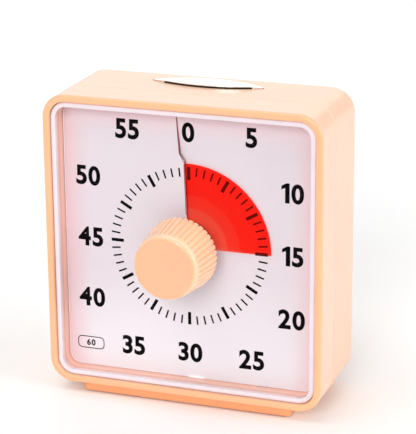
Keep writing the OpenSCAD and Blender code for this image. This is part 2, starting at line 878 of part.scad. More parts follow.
module volume_slider() {
    top = case_d - 0.15;
    color("#f6f2ea") on_dial() translate([switch_x, 0, part_z]) difference() {
        union() {
            block([-3.6, back_in - 0.8, -2.6], [3.6, back_in - 0.15, 2.6]);
            block([-slider_w / 2, back_in - 0.3, -slider_h / 2], [slider_w / 2, top, slider_h / 2]);
        }
        for (x = [-1.4:0.7:1.4]) block([x - 0.15, top - 0.3, -slider_h], [x + 0.15, top + 1, slider_h]);
    }
}

// ---- Top button ----

module top_button() {
    flange_z = in_h / 2 - button_flange_t;
    crown_z = case_h / 2 + button_crown;
    color("#f4f3ee") on_dial() {
        intersection() {
            button_column(0, in_h / 2 - 0.3, crown_z + 1);
            translate([0, button_y + button_w, crown_z - crown_r]) rotate([90, 0, 0])
                cylinder(r = crown_r, h = 2 * button_w, $fn = 256);
            translate([-button_l, button_y, crown_z - crown_side_r]) rotate([0, 90, 0])
                cylinder(r = crown_side_r, h = 2 * button_l, $fn = 256);
        }
        block([-button_l / 2 - 1.6, button_y - button_w / 2 - 1, flange_z],
            [button_l / 2 + 1.6, button_y + button_w / 2 + 1, in_h / 2]);
        translate([0, button_y, plunger_z]) cylinder(r = plunger_r, h = flange_z - plunger_z + 0.3);
    }
}

// A coil spring as a swept tube: the wire's middle runs at a radius, from z0 to z1.
module coil_spring(coil_radius, wire_r, turns, z0, z1) {
    sides = 6;
    rings = 14 * turns;
    points = [for (i = [0:rings], s = [0:sides - 1])
        let (a = 360 * turns * i / rings, b = 360 * s / sides, r = coil_radius + wire_r * cos(b))
        [r * cos(a), r * sin(a), z0 + wire_r + (z1 - z0 - 2 * wire_r) * i / rings + wire_r * sin(b)]];
    faces = concat(
        [for (i = [0:rings - 1], s = [0:sides - 1]) let (n = (s + 1) % sides)
            [i * sides + s, i * sides + n, (i + 1) * sides + n, (i + 1) * sides + s]],
        [[for (s = [sides - 1:-1:0]) s], [for (s = [0:sides - 1]) rings * sides + s]]);
    polyhedron(points, faces, convexity = 8);
}

module button_spring() {
    color("#c9ced3") on_dial() translate([0, button_y, 0])
        coil_spring(2.5, 0.25, 5, shelf_z1 + 0.02, spring_top - 0.02);
}

// ---- Battery ----

module battery() {
    nub = 1.3;
    end = box_w / 2 - contact_t - 0.1;
    color("#3f5f8a") on_dial() translate([0, cell_y, cell_z]) rotate([0, 90, 0]) {
        translate([0, 0, end - cell_l]) cylinder(r = cell_r, h = cell_l - nub);
        translate([0, 0, end - nub - 0.2]) cylinder(r = 2.7, h = nub + 0.2);
    }
}

// The tab of a contact, which stands through the top of the battery box, or with a play its slot.
module contact_tab(play) {
    block([box_w / 2 - contact_t - play, lead_y - tab_half_w - play, box_z - 1],
        [box_w / 2 + play, lead_y + tab_half_w + play, tab_z1]);
}

module contact_blade() {
    block([box_w / 2 - contact_t, cell_y - contact_half_w, floor_z + contact_end],
        [box_w / 2, cell_y + contact_half_w, box_z - contact_end]);
    contact_tab(0);
}

module contact_spring() {
    end = box_w / 2;
    cell_end = end - contact_t - 0.1 - cell_l;
    color("#b7bcc1") on_dial() {
        mirror([1, 0, 0]) contact_blade();
        translate([0, cell_y, cell_z]) rotate([0, 90, 0])
            coil_spring(3.2, 0.35, 4, contact_t - end - 0.2, cell_end - 0.1);
    }
}

module contact_plate() {
    color("#b7bcc1") on_dial() contact_blade();
}

// A wire through a list of points.
module wire(r, points) {
    for (i = [0:len(points) - 2]) {
        run = points[i + 1] - points[i];
        translate(points[i]) rotate([0, acos(run[2] / norm(run)), atan2(run[1], run[0])])
            cylinder(r = r, h = norm(run), $fn = 24);
    }
    for (i = [1:len(points) - 2]) translate(points[i]) sphere(r = r, $fn = 24);
}

// The leads run from the contacts' tabs to the back of the circuit board.
module battery_leads() {
    tab_x = box_w / 2 - contact_t;
    tab_mid = (box_z + box_t + tab_z1) / 2;
    color("#c23a2e") on_dial() for (side = [-1, 1])
        wire(lead_r, [
            [side * tab_x, lead_y, tab_mid],
            [side * lead_x, lead_y, tab_mid],
            [side * lead_x, lead_y, lead_z],
            [side * lead_x, board_back, lead_z]
        ]);
}

// The door's lower edge is round, on the axis that it tips about.
module battery_door() {
    door_h = door_z1 - door_z0;
    inner = case_d - door_t;
    edge_r = door_t / 2;
    way_z0 = door_z0 + door_ledge;
    way_z1 = door_z1 - door_ledge;
    color("#fdd4b8") on_dial() {
        difference() {
            translate([0, 0, (door_z0 + door_z1) / 2])
                plate(inner, case_d) rounded(door_w, door_h, door_r);
            block([-door_w, inner - 1, door_z0 - 1], [door_w, case_d + 1, door_z0 + edge_r]);
            for (i = [0:4]) translate([0, 0, door_z1 - 3 - 1.3 * i])
                block([-7, case_d - 0.35, 0], [7, case_d + 1, 0.6]);
        }
        translate([door_r - door_w / 2, inner + edge_r, door_z0 + edge_r]) rotate([0, 90, 0])
            cylinder(r = edge_r, h = door_w - 2 * door_r);
        for (x = [-20, 16]) block([x, inner - 1.4, way_z0 + 0.15], [x + 4, inner + 0.3, way_z0 + 1.05]);
        block([-5, inner - 1.5, way_z1 - 1.5], [5, inner + 0.3, way_z1 - 0.7]);
    }
}

// ---- Foot ----

// A peg of the foot, or with a play its hole, in the bottom of the rear housing.
module foot_peg(x, y, play, deeper) {
    at = [x * 21, seam_y + 4 + 11 * y, -case_h / 2 - 0.5];
    translate(at) cylinder(r = 1.5 + play, h = 0.5 + wall - 0.4 + deeper);
}

module foot_profile(r, h) {
    difference() {
        square([r, h]);
        translate([r, 0]) corner_cut(0.6);
    }
}

module foot() {
    pad_proud = 0.3;
    h = foot_h - pad_proud;
    color("#f9a871") on_dial() difference() {
        union() {
            translate([0, foot_set + foot_d / 2, -case_h / 2 - h]) rotate([90, 0, 0]) {
                frame_sweep(foot_w, foot_d, foot_r) foot_profile(foot_r, h);
                middle(foot_w, foot_d, foot_r, 0, h);
            }
            for (x = [-1, 1], y = [0, 1]) foot_peg(x, y, 0, 0);
        }
        foot_pad_block(0.1);
    }
}

module foot_pad_block(play) {
    translate([0, foot_set + foot_d / 2, -case_h / 2 - foot_h - play])
        linear_extrude(1.1 + play) rounded(foot_w - 5 + 2 * play, foot_d - 5 + 2 * play, 2);
}

module foot_pad() {
    color("#5b5552") on_dial() foot_pad_block(0);
}

// ---- Screws ----

// A screw that points towards the dial: its head's seat is at y, and the drive is a cross.
module screw(y, length, r, head_r, head_h) {
    difference() {
        union() {
            rod(r, y - length, y + 0.1);
            rod(head_r, y, y + head_h);
        }
        for (a = [0, 90]) rotate([0, a, 0])
            block([-head_r * 0.6, y + head_h * 0.4, -0.25], [head_r * 0.6, y + head_h + 1, 0.25]);
    }
}

module case_screws() {
    color("#a9aeb3") on_dial() at_case_screws()
        screw(case_screw_seat, case_screw_seat - rim_y - 1, screw_r, screw_head_r, screw_head_h);
}

module movement_screws() {
    seat = cover_y + cover_t;
    color("#a9aeb3") on_dial() at_movement_screws()
        screw(seat, seat - floor_y - 0.5, small_screw_r, small_head_r, small_head_h);
}

module board_screws() {
    color("#a9aeb3") on_dial() translate([0, 2 * board_y, 0]) mirror([0, 1, 0])
        at_board_screws() screw(board_y, board_screw_l, small_screw_r, small_head_r, small_head_h);
}

front_bezel();
rear_housing();
lens();
dial_sheet();
dial_carrier();
time_disc();
disc_hub();
knob();
knob_shaft();
front_bushing();
rear_bushing();
clutch_collar();
clutch_gear();
clutch_spring();
shaft_clip();
second_wheel();
rotor();
stator();
coil();
movement_base();
movement_cover();
circuit_board();
tact_switch();
buzzer();
switch_body();
volume_slider();
top_button();
button_spring();
battery();
contact_spring();
contact_plate();
battery_leads();
battery_door();
foot();
foot_pad();
case_screws();
movement_screws();
board_screws();
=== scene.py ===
"""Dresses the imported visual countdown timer: finished pieces, materials, soft light and a camera.

The file is laid out as an add-on and is run as a script. Every piece or group of pieces is an
operator, its sizes and colours are settings of the scene, and main() calls the operators in order.
Lengths are in metres. All shapes but the top button's are drawn in the dial's own axes: x to the
right, y into the case and z up, from the middle of the bezel's front. DIAL moves them to the
part's frame.
"""

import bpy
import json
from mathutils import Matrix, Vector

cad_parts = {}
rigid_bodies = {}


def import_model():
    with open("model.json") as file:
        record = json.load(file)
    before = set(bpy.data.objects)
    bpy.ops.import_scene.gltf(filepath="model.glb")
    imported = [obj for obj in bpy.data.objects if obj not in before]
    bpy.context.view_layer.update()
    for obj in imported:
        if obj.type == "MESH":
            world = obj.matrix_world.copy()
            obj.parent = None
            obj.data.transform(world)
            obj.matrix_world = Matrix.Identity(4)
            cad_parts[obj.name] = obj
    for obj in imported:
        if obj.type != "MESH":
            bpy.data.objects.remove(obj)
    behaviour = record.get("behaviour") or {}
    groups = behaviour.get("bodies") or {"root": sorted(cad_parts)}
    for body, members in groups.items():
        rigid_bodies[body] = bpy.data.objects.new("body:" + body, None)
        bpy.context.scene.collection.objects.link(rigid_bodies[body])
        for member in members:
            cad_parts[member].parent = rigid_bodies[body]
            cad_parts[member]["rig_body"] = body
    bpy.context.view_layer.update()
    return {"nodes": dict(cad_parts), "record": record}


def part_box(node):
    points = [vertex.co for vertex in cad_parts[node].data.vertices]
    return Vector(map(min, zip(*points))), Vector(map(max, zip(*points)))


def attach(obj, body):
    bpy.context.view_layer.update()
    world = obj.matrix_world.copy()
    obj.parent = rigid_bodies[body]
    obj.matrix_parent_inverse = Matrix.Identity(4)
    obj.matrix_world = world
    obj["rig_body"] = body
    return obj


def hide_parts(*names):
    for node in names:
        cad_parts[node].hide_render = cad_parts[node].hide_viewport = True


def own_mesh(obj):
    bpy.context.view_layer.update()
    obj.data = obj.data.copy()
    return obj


bl_info = {
    "name": "Visual countdown timer",
    "version": (1, 0, 0),
    "blender": (4, 5, 0),
    "location": "3D View > Sidebar > Timer",
    "description": "Builds the visual model of a countdown timer round its packed frame",
    "category": "Object",
}

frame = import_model()

import json
import math

import bmesh
import bpy
from bpy.props import FloatProperty, FloatVectorProperty, IntProperty, PointerProperty
from mathutils import Matrix, Vector
from mathutils.bvhtree import BVHTree

MM = 0.001

CASE_LOW, CASE_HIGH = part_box("front_bezel")
KNOB_LOW, KNOB_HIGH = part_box("knob")
LENS_LOW, LENS_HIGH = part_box("lens")
DIAL = Matrix.Translation((0, CASE_LOW.y, (CASE_LOW.z + CASE_HIGH.z) / 2))

# Depths from the bezel's front: the seam between the case's halves, the window's front, and the
# front and the back of the bezel's ledge. The dial sheet's rim lies against the ledge's back.
SEAM_Y = CASE_HIGH.y - CASE_LOW.y
LENS_Y = LENS_LOW.y - CASE_LOW.y
LEDGE_Y, SHEET_Y = 3.5 * MM, 6.5 * MM
LENS_T = 1.4 * MM

# From the dial's middle to the ledge, across and up.
OPENING_X, OPENING_Z = 36.6 * MM, 38.6 * MM

# Tolerances: SAME for the seams of a shape made here, NEAR for a copy of a CAD node and for
# coarser work.
SAME, NEAR = 0.0001 * MM, 0.001 * MM

# Faces that turn by less than this are one flat face.
FLAT = math.radians(0.4)

# Turns a shape that lies flat up to face the front.
FACING = Matrix.Rotation(math.pi / 2, 4, "X")


# ---- Settings ----

def length(name, description, default):
    """A length in metres."""
    return FloatProperty(name=name, description=description, default=default, unit="LENGTH",
                         subtype="DISTANCE", precision=5, min=0)


def colour(name, description, default):
    """A linear colour."""
    return FloatVectorProperty(name=name, description=description, default=default, size=3,
                               subtype="COLOR", min=0, max=1)


def strength(name, description, default, unit="NONE"):
    """The strength of a light."""
    return FloatProperty(name=name, description=description, default=default, unit=unit, min=0)


class CaseSettings(bpy.types.PropertyGroup):
    wall: length("Wall", "Thickness of the bezel's wall", 2 * MM)
    corner: length("Corner", "Radius of the case's corners, seen from the front", 6.8 * MM)
    edge: length("Edge", "Rounding of the bezel's front edge", 0.9 * MM)
    lip: length("Lip", "Rounding of the bezel's inner edge", 0.35 * MM)
    front: colour("Front", "Colour of the bezel's front edge", (0.985, 0.49, 0.265))
    # Rear: paler than the front colour, as painted sheen where the case is seen at a grazing angle.
    rear: colour("Rear", "Colour of the case behind the front edge", (0.985, 0.63, 0.455))
    # Low: painted shade, deeper towards the case's lower edge.
    low: colour("Low", "Colour of the case towards its lower edge", (0.985, 0.5, 0.3))
    # Ledge: lighter and pinker than the bezel's own plastic, as painted light inside the window's
    # recess.
    ledge: colour("Ledge", "Colour of the ledge inside the window", (1.0, 0.6, 0.48))
    foot: colour("Foot", "Colour of the foot", (0.94, 0.38, 0.17))


class LensSettings(bpy.types.PropertyGroup):
    edge: length("Edge", "Rounding of the window's front edge", 0.5 * MM)
    rim: length("Rim", "Width of the window's thick rim", 1.5 * MM)
    thickness: length("Thickness", "Thickness of the window", LENS_T)
    hole: length("Hole", "Radius of the hole round the knob", 4.9 * MM)
    # The bright line round the dial is a painted highlight.
    highlight_line: length("Bead", "Width of the bright bead round the dial", 0.3 * MM)
    # The rim's whitish colour is painted light on clear acrylic.
    tone: colour("Rim colour", "Colour of the bright rim", (0.94, 0.85, 0.91))
    # The edge colour is painted shade along the rim's rounded edge.
    edge_shade: colour("Edge colour", "Colour of the rim's rounded edge", (0.92, 0.74, 0.76))


class DialSettings(bpy.types.PropertyGroup):
    number_height: length("Number height", "Height of the dial's numbers", 5.65 * MM)
    tick_outer: length("Tick radius", "Radius of the outer ends of the ticks", 22.75 * MM)
    print_depth: length("Print depth", "Thickness of the printed marks", 0.03 * MM)
    digit_gap: length("Digit gap", "Space between two digits", 0.5 * MM)
    sheet: colour("Sheet", "Colour of the dial's sheet", (0.785, 0.73, 0.775))
    # Painted light: the sheet is paler towards its lower edge.
    foot: colour("Sheet's foot", "Colour of the sheet towards its lower edge", (0.9, 0.88, 0.92))
    # Pink painted bounce light from the peach walls round the sheet's border.
    wall_bounce: colour("Blush", "Colour of the sheet's border", (0.84, 0.63, 0.68))
    ink: colour("Ink", "Colour of the printed marks", (0.003, 0.002, 0.003))
    disc: colour("Disc", "Colour of the time disc", (0.9, 0.02, 0.01))


class KnobSettings(bpy.types.PropertyGroup):
    ribs: IntProperty(name="Ribs", description="Number of ribs round the knob", default=40, min=12)
    groove: length("Groove", "Depth of the grooves between the ribs", 0.38 * MM)
    edge: length("Edge", "Rounding of the knob's front edge", 1.5 * MM)
    body: colour("Body", "Colour of the knob", (0.985, 0.48, 0.28))
    # The side colour is a painted highlight on the knob's rounded edge and its side.
    side: colour("Side", "Colour of the knob's rounded edge and its side", (0.985, 0.69, 0.45))


class ButtonSettings(bpy.types.PropertyGroup):
    oval_length: length("Length", "Length of the oval button", 32.5 * MM)
    oval_width: length("Width", "Width of the oval button", 8 * MM)
    fall: length("Fall", "How far the crown falls from its middle to its long edges", 0.6 * MM)
    shadow: length("Dark band", "Height of the dark band at the foot of the button", 0.5 * MM)
    plating: colour("Plating", "Colour of the button's plating", (0.92, 0.92, 0.89))


class StudioSettings(bpy.types.PropertyGroup):
    floor: colour("Floor", "Colour of the floor", (0.96, 0.96, 0.96))
    world_light: strength("World light", "Strength of the surround", 0.46)
    front_light: strength("Front light", "Strength of the light before the timer", 1.14)
    key_light: strength("Key light", "Strength of the light from above, at the left", 0.8)
    side_light: strength("Side light", "Strength of the light from the right", 1.1)
    back_light: strength("Back light", "Power of the wide panel behind", 6.2, "POWER")


# ---- Shapes ----

def verts_in(geometry):
    """The vertices in what an operator gave."""
    return [part for part in geometry if isinstance(part, bmesh.types.BMVert)]


def rim_in(geometry):
    """The boundary edges in what an operator gave."""
    return [part for part in geometry if isinstance(part, bmesh.types.BMEdge) and part.is_boundary]


def edges_of(verts):
    """The edges that meet at some vertices."""
    return list(dict.fromkeys(edge for vert in verts for edge in vert.link_edges))


def circle(bm, radius, depth, segments):
    """The edges of a circle that faces the front, at a depth."""
    turned = Matrix.Translation((0, depth, 0)) @ FACING
    return edges_of(bmesh.ops.create_circle(bm, cap_ends=False, radius=radius, segments=segments,
                                            matrix=turned)["verts"])


def rounded_loop(bm, width, height, radius, depth, segments=10):
    """The edges of a rounded rectangle that faces the front, at a depth."""
    known = set(bm.faces)
    place = Matrix.Translation((0, depth, 0)) @ FACING @ Matrix.Diagonal((width, height, 1, 1))
    corners = bmesh.ops.create_grid(bm, x_segments=1, y_segments=1, size=0.5, matrix=place)["verts"]
    bmesh.ops.bevel(bm, geom=corners, offset=radius, segments=segments, profile=0.5,
                    affect="VERTICES", material=-1, clamp_overlap=False)
    face = next(f for f in bm.faces if f not in known)
    edges = list(face.edges)
    bmesh.ops.delete(bm, geom=[face], context="FACES_ONLY")
    return edges


def sweep_frame(bm, width, height, radius, profile, closed=True):
    """Sweeps a profile of (inset, depth) round a rounded rectangle, ring by ring, and gives the
    edges of the first and the last ring."""
    first, depth = profile[0]
    edges = rounded_loop(bm, width - 2 * first, height - 2 * first, radius - first, depth)
    start = edges
    centre = Vector((width / 2 - radius, 0, height / 2 - radius))
    for inset, depth in profile[1:] + (profile[:1] if closed else []):
        made = bmesh.ops.extrude_edge_only(bm, edges=edges)["geom"]
        for vert in verts_in(made):
            corner = Vector((math.copysign(centre.x, vert.co.x), 0, math.copysign(centre.z, vert.co.z)))
            out = Vector((vert.co.x - corner.x, 0, vert.co.z - corner.z)).normalized()
            vert.co = corner + out * (radius - inset) + Vector((0, depth, 0))
        edges = rim_in(made)
    return start, edges


def inset_of(face, width, height, radius):
    """How far the middle of a swept face lies in from the rounded rectangle's outline."""
    at = face.calc_center_median()
    over = Vector((abs(at.x) - width / 2 + radius, abs(at.z) - height / 2 + radius))
    if over.x > 0 and over.y > 0:
        return radius - over.length
    return radius - max(over)


def chain(bm, points):
    """A row of vertices joined by edges."""
    verts = [bm.verts.new(p) for p in points]
    return verts + [bm.edges.new(pair) for pair in zip(verts, verts[1:])]


def arc(centre, radius, first, last, steps):
    """Points of an arc in a profile, with its angles in degrees."""
    angles = [math.radians(first + (last - first) * i / steps) for i in range(steps + 1)]
    return [(centre[0] + radius * math.cos(a), centre[1] + radius * math.sin(a)) for a in angles]


def arc_radius(half, rise):
    """The radius of an arc from half its chord and its rise."""
    return (half ** 2 + rise ** 2) / (2 * rise)


def smooth_step(x):
    """Eases a share from 0 to 1, and holds it at 0 or 1 outside."""
    x = min(1.0, max(0.0, x))
    return x * x * (3 - 2 * x)


def close(bm):
    """Joins the seams and poles of a new solid and points its faces outwards."""
    bmesh.ops.remove_doubles(bm, verts=bm.verts, dist=SAME)
    bmesh.ops.recalc_face_normals(bm, faces=bm.faces)


def merged_copy(node, curved):
    """A copy of a CAD node's mesh with its loose triangles joined and, if it isn't a curved sheet,
    its flat faces made whole."""
    bm = bmesh.new()
    bm.from_mesh(frame["nodes"][node].data)
    bmesh.ops.remove_doubles(bm, verts=bm.verts, dist=NEAR)
    if not curved:
        bmesh.ops.dissolve_limit(bm, angle_limit=FLAT, verts=bm.verts, edges=bm.edges)
    return bm


def make_piece(name, bm, body, materials, replaces=(), crease=32, place=None):
    """A finished object from a bmesh: placed, shaded smooth up to a crease angle, and riding."""
    if not bm.faces:
        raise RuntimeError(f"{name} has no faces")
    if place is not None:
        bmesh.ops.transform(bm, matrix=place, verts=bm.verts)
    mesh = bpy.data.meshes.new(name)
    bm.to_mesh(mesh)
    bm.free()
    mesh.shade_smooth()
    mesh.set_sharp_from_angle(angle=math.radians(crease))
    for material in materials:
        mesh.materials.append(material)
    piece = bpy.data.objects.new(name, mesh)
    bpy.context.scene.collection.objects.link(piece)
    weighted = piece.modifiers.new("Even normals", "WEIGHTED_NORMAL")
    weighted.keep_sharp = True
    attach(piece, body)
    if replaces:
        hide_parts(*replaces)
    return piece


def smooth_node(context, name, node, slot, curved=False):
    """A smooth-shaded copy of a CAD node in its own finish, which stands for it."""
    return make_piece(name, merged_copy(node, curved), frame["nodes"][node]["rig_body"],
                      [finishes(context)[slot]], [node])


# ---- Materials ----

class Recipe:
    """A material's node tree, with short calls for the nodes that these finishes share."""

    def __init__(self, name):
        self.material = bpy.data.materials.new(name)
        self.material.use_nodes = True
        self.tree = self.material.node_tree
        self.shader = self.tree.nodes["Principled BSDF"]
        self.output = self.tree.nodes["Material Output"]
        self.place = self.node("ShaderNodeTexCoord").outputs["Object"]

    def node(self, kind, **values):
        """A new node, with values for its sockets or its own settings."""
        made = self.tree.nodes.new(kind)
        for key, value in values.items():
            if key in made.inputs:
                made.inputs[key].default_value = value
            else:
                setattr(made, key, value)
        return made

    def link(self, source, target):
        self.tree.links.new(source, target)

    def set(self, **values):
        """Sets the shader's sockets to values that are the same all over."""
        for key, value in values.items():
            self.shader.inputs[key.replace("_", " ")].default_value = value

    def feed(self, **sources):
        """Links the shader's sockets to patterns."""
        for key, source in sources.items():
            self.link(source, self.shader.inputs[key.replace("_", " ")])

    def moved(self, scale, offset=(0, 0, 0)):
        """The object's coordinates, scaled and moved."""
        mapping = self.node("ShaderNodeMapping", Location=offset, Scale=scale)
        self.link(self.place, mapping.inputs["Vector"])
        return mapping.outputs["Vector"]

    def noise(self, scale, detail, at=None):
        """A cloudy pattern, finer at a larger scale."""
        made = self.node("ShaderNodeTexNoise", Scale=scale, Detail=detail)
        self.link(at or self.place, made.inputs["Vector"])
        return made.outputs["Fac"]

    def ramp(self, source, stops):
        """Turns a share into the greys or colours of its stops."""
        made = self.node("ShaderNodeValToRGB")
        for i, (at, value) in enumerate(stops):
            stop = made.color_ramp.elements[i] if i < 2 else made.color_ramp.elements.new(at)
            stop.position = at
            stop.color = (*value, 1) if isinstance(value, tuple) else (value, value, value, 1)
        self.link(source, made.inputs["Fac"])
        return made.outputs["Color"]

    def maths(self, operation, first, second=0.0):
        """A calculation on one or two numbers or sockets."""
        made = self.node("ShaderNodeMath", operation=operation)
        for socket, value in zip(made.inputs, (first, second)):
            if isinstance(value, (int, float)):
                socket.default_value = value
            else:
                self.link(value, socket)
        return made.outputs[0]

    def blend(self, base, other, share):
        """A colour mixed over another by its share."""
        mix = self.node("ShaderNodeMix", data_type="RGBA")
        self.link(share, mix.inputs["Factor"])
        self.link(base, mix.inputs[6])
        mix.inputs[7].default_value = (*other, 1)
        return mix.outputs[2]

    def axis(self, name):
        """One of the object's coordinates, in metres."""
        split = self.node("ShaderNodeSeparateXYZ")
        self.link(self.place, split.inputs[0])
        return split.outputs[name]

    def along(self, name, start, reach):
        """How far a place lies along an axis from a start, in shares of a reach."""
        return self.maths("MULTIPLY", self.maths("SUBTRACT", self.axis(name), start), 1 / reach)

    def bump(self, height, strength, distance, after=None):
        """A bumpy surface from a pattern, over another one."""
        made = self.node("ShaderNodeBump", Strength=strength, Distance=distance)
        self.link(height, made.inputs["Height"])
        if after is not None:
            self.link(after, made.inputs["Normal"])
        return made.outputs["Normal"]


# Scales of the patterns in moulded plastic: its cloud of tone, its gloss, its ripple and its grain.
CLOUD, GLOSS, RIPPLE, GRAIN = 38, 210, 120, 2600


def shade(tone, share):
    """A colour made darker by a share below 1, or lighter by one above."""
    return tuple(min(1.0, c * share) for c in tone)


def plastic(name, tone, roughness, grain=0.02, blend=0.04, coat=0.0, inner=0.0, over=(), ior=1.49):
    """Moulded plastic: a faint cloud of tone, uneven gloss and a very fine grain. Each tone laid
    over it is a colour and a function that gives its share of the surface."""
    recipe = Recipe(name)
    cloud = recipe.noise(CLOUD, 4)
    base = recipe.ramp(cloud, [(0.3, shade(tone, 1 - blend)), (0.7, shade(tone, 1 + blend))])
    for other, share in over:
        base = recipe.blend(base, other, share(recipe))
    gloss = recipe.ramp(recipe.noise(GLOSS, 3), [(0.25, roughness - 0.02), (0.75, roughness + 0.03)])
    fine = recipe.bump(recipe.noise(GRAIN, 2), grain, 0.04 * MM)
    relief = recipe.bump(recipe.noise(RIPPLE, 1), 0.05, 0.4 * MM, fine)
    recipe.feed(Base_Color=base, Roughness=gloss, Normal=relief)
    recipe.set(IOR=ior, Coat_Weight=coat, Coat_Roughness=0.12)
    if inner:
        recipe.set(Subsurface_Weight=inner, Subsurface_Radius=(1.0, 0.45, 0.25),
                   Subsurface_Scale=2.5 * MM)
    return recipe.material


def metal(name, tone, roughness, lines, line_scale=900, worn=0.08):
    """Bare or plated metal with fine lines that run along one axis."""
    recipe = Recipe(name)
    fine = recipe.noise(line_scale, 4, recipe.moved(lines))
    base = recipe.ramp(recipe.noise(60, 3), [(0.3, shade(tone, 1 - worn)), (0.7, tone)])
    gloss = recipe.ramp(fine, [(0.3, roughness * 0.75), (0.7, roughness * 1.3)])
    recipe.feed(Base_Color=base, Roughness=gloss, Normal=recipe.bump(fine, 0.06, 0.02 * MM))
    recipe.set(Metallic=1.0)
    return recipe.material


def see_through(recipe, clear_tone, share):
    """Lets a share of the light pass straight through the finish, tinted."""
    clear = recipe.node("ShaderNodeBsdfTransparent", Color=(*clear_tone, 1))
    mix = recipe.node("ShaderNodeMixShader")
    if isinstance(share, float):
        mix.inputs["Fac"].default_value = share
    else:
        recipe.link(share, mix.inputs["Fac"])
    recipe.link(recipe.shader.outputs[0], mix.inputs[1])
    recipe.link(clear.outputs[0], mix.inputs[2])
    recipe.link(mix.outputs[0], recipe.output.inputs["Surface"])
    return clear


def lens_window():
    """Clear acrylic: it lets the light through and shines by Fresnel."""
    recipe = Recipe("Clear window")
    recipe.set(Base_Color=(0.02, 0.02, 0.02, 1), IOR=1.49)
    recipe.feed(Roughness=recipe.ramp(recipe.noise(90, 4), [(0.3, 0.03), (0.7, 0.07)]))
    slant = recipe.node("ShaderNodeLayerWeight", Blend=0.5).outputs["Facing"]
    shine = recipe.maths("MULTIPLY", recipe.maths("POWER", slant, 5.0), 0.3)
    see_through(recipe, (0.998, 0.994, 0.997), recipe.maths("SUBTRACT", 0.99, shine))
    return recipe.material


def window_depth(recipe):
    """The share of the colour behind the window, which grows through the window's rear half."""
    depth = recipe.along("Y", DIAL.translation.y + LENS_Y, LENS_T)
    return recipe.ramp(depth, [(0.5, 0.0), (1.0, 1.0)])


def window_painted_light(name, tone, roughness, share, deep=None, painted_glow=0.0):
    """A bright part of the window: its whitish colour is painted light, standing in for the light that
    the clear acrylic carries and gives back. Towards its back it shows the deep colour of the wall
    behind it, where one is given."""
    recipe = Recipe(name)
    base = recipe.ramp(recipe.noise(140, 3), [(0.3, shade(tone, 0.97)), (0.7, shade(tone, 1.03))])
    if deep is not None:
        base = recipe.blend(base, deep, window_depth(recipe))
    recipe.feed(Base_Color=base)
    recipe.set(Roughness=roughness, IOR=1.49, Coat_Weight=0.4, Coat_Roughness=0.04)
    # Painted light: the part gives off light of its own, though it is no lamp.
    recipe.set(Emission_Color=(*tone, 1), Emission_Strength=painted_glow)
    see_through(recipe, (1, 1, 1), share)
    return recipe.material


# Where the red film's three tones start and end, in shares of FILM_REACH from the dial's middle.
FILM_REACH = 25 * MM
FILM_STEPS = (0.0, 0.44, 0.46, 0.59, 0.61, 1.0)


def disc_film(tone):
    """Red film: clear red, lighter in two steps towards the hub, partly as painted light against the
    knob's shade, and giving off a faint painted light of its own.
    """
    recipe = Recipe("Red film")
    out = recipe.node("ShaderNodeVectorMath", operation="LENGTH")
    recipe.link(recipe.moved((1, 0, 1), (0, 0, -DIAL.translation.z)), out.inputs[0])
    reach = recipe.maths("MULTIPLY", out.outputs["Value"], 1 / FILM_REACH)
    film_tones = [shade(tone, share) for share in (1.1, 1.1, 1.0, 1.0, 0.94, 0.9)]
    gloss = recipe.ramp(recipe.noise(70, 4), [(0.3, 0.22), (0.7, 0.3)])
    recipe.feed(Base_Color=recipe.ramp(reach, zip(FILM_STEPS, film_tones)), Roughness=gloss)
    # Painted light: the film gives off red light of its own, though it is no lamp.
    recipe.set(IOR=1.2, Emission_Color=(1, 0.06, 0.04, 1), Emission_Strength=1.7)
    clear = see_through(recipe, (1, 0.36, 0.3), 0.97)
    tints = ((1, 0.62, 0.54), (1, 0.58, 0.5), (1, 0.48, 0.41),
             (1, 0.44, 0.37), (1, 0.37, 0.31), (1, 0.34, 0.29))
    recipe.link(recipe.ramp(reach, zip(FILM_STEPS, tints)), clear.inputs["Color"])
    return recipe.material


def sheen_behind_front(recipe):
    """The share of the paler colour, painted sheen, which grows backwards from the bezel's front edge.
    """
    return recipe.ramp(recipe.along("Y", DIAL.translation.y, 2 * MM), [(0.12, 0.0), (0.5, 1.0)])


def case_low_shade(recipe):
    """The share of the deeper colour, painted shade, which grows towards the case's lower edge."""
    return recipe.ramp(recipe.along("Z", 0, 35 * MM), [(0.3, 0.4), (1.0, 0.0)])


def sheet_wall_bounce(recipe):
    """The share of the pink painted bounce light from the peach walls, which grows towards the dial's
    border but not at its foot.
    """
    across = recipe.maths("MULTIPLY", recipe.maths("ABSOLUTE", recipe.axis("X")), 1 / OPENING_X)
    up = recipe.along("Z", DIAL.translation.z, OPENING_Z)
    return recipe.ramp(recipe.maths("MAXIMUM", across, up), [(0.8, 0.0), (1.0, 0.9)])


def sheet_low_light(recipe):
    """The share of the paler colour, painted light, which grows towards the dial's lower edge."""
    return recipe.ramp(recipe.along("Z", DIAL.translation.z, -OPENING_Z), [(0.2, 0.0), (1.0, 1.0)])


def knob_highlight(recipe):
    """The share of the lighter colour, a painted highlight, which starts at the knob's rounded
    front edge.
    """
    band = recipe.along("Y", KNOB_LOW.y, 4 * MM)
    return recipe.ramp(band, [(0.02, 0.0), (0.18, 0.9), (0.4, 1.0), (1.0, 0.85)])


FINISHES = {}


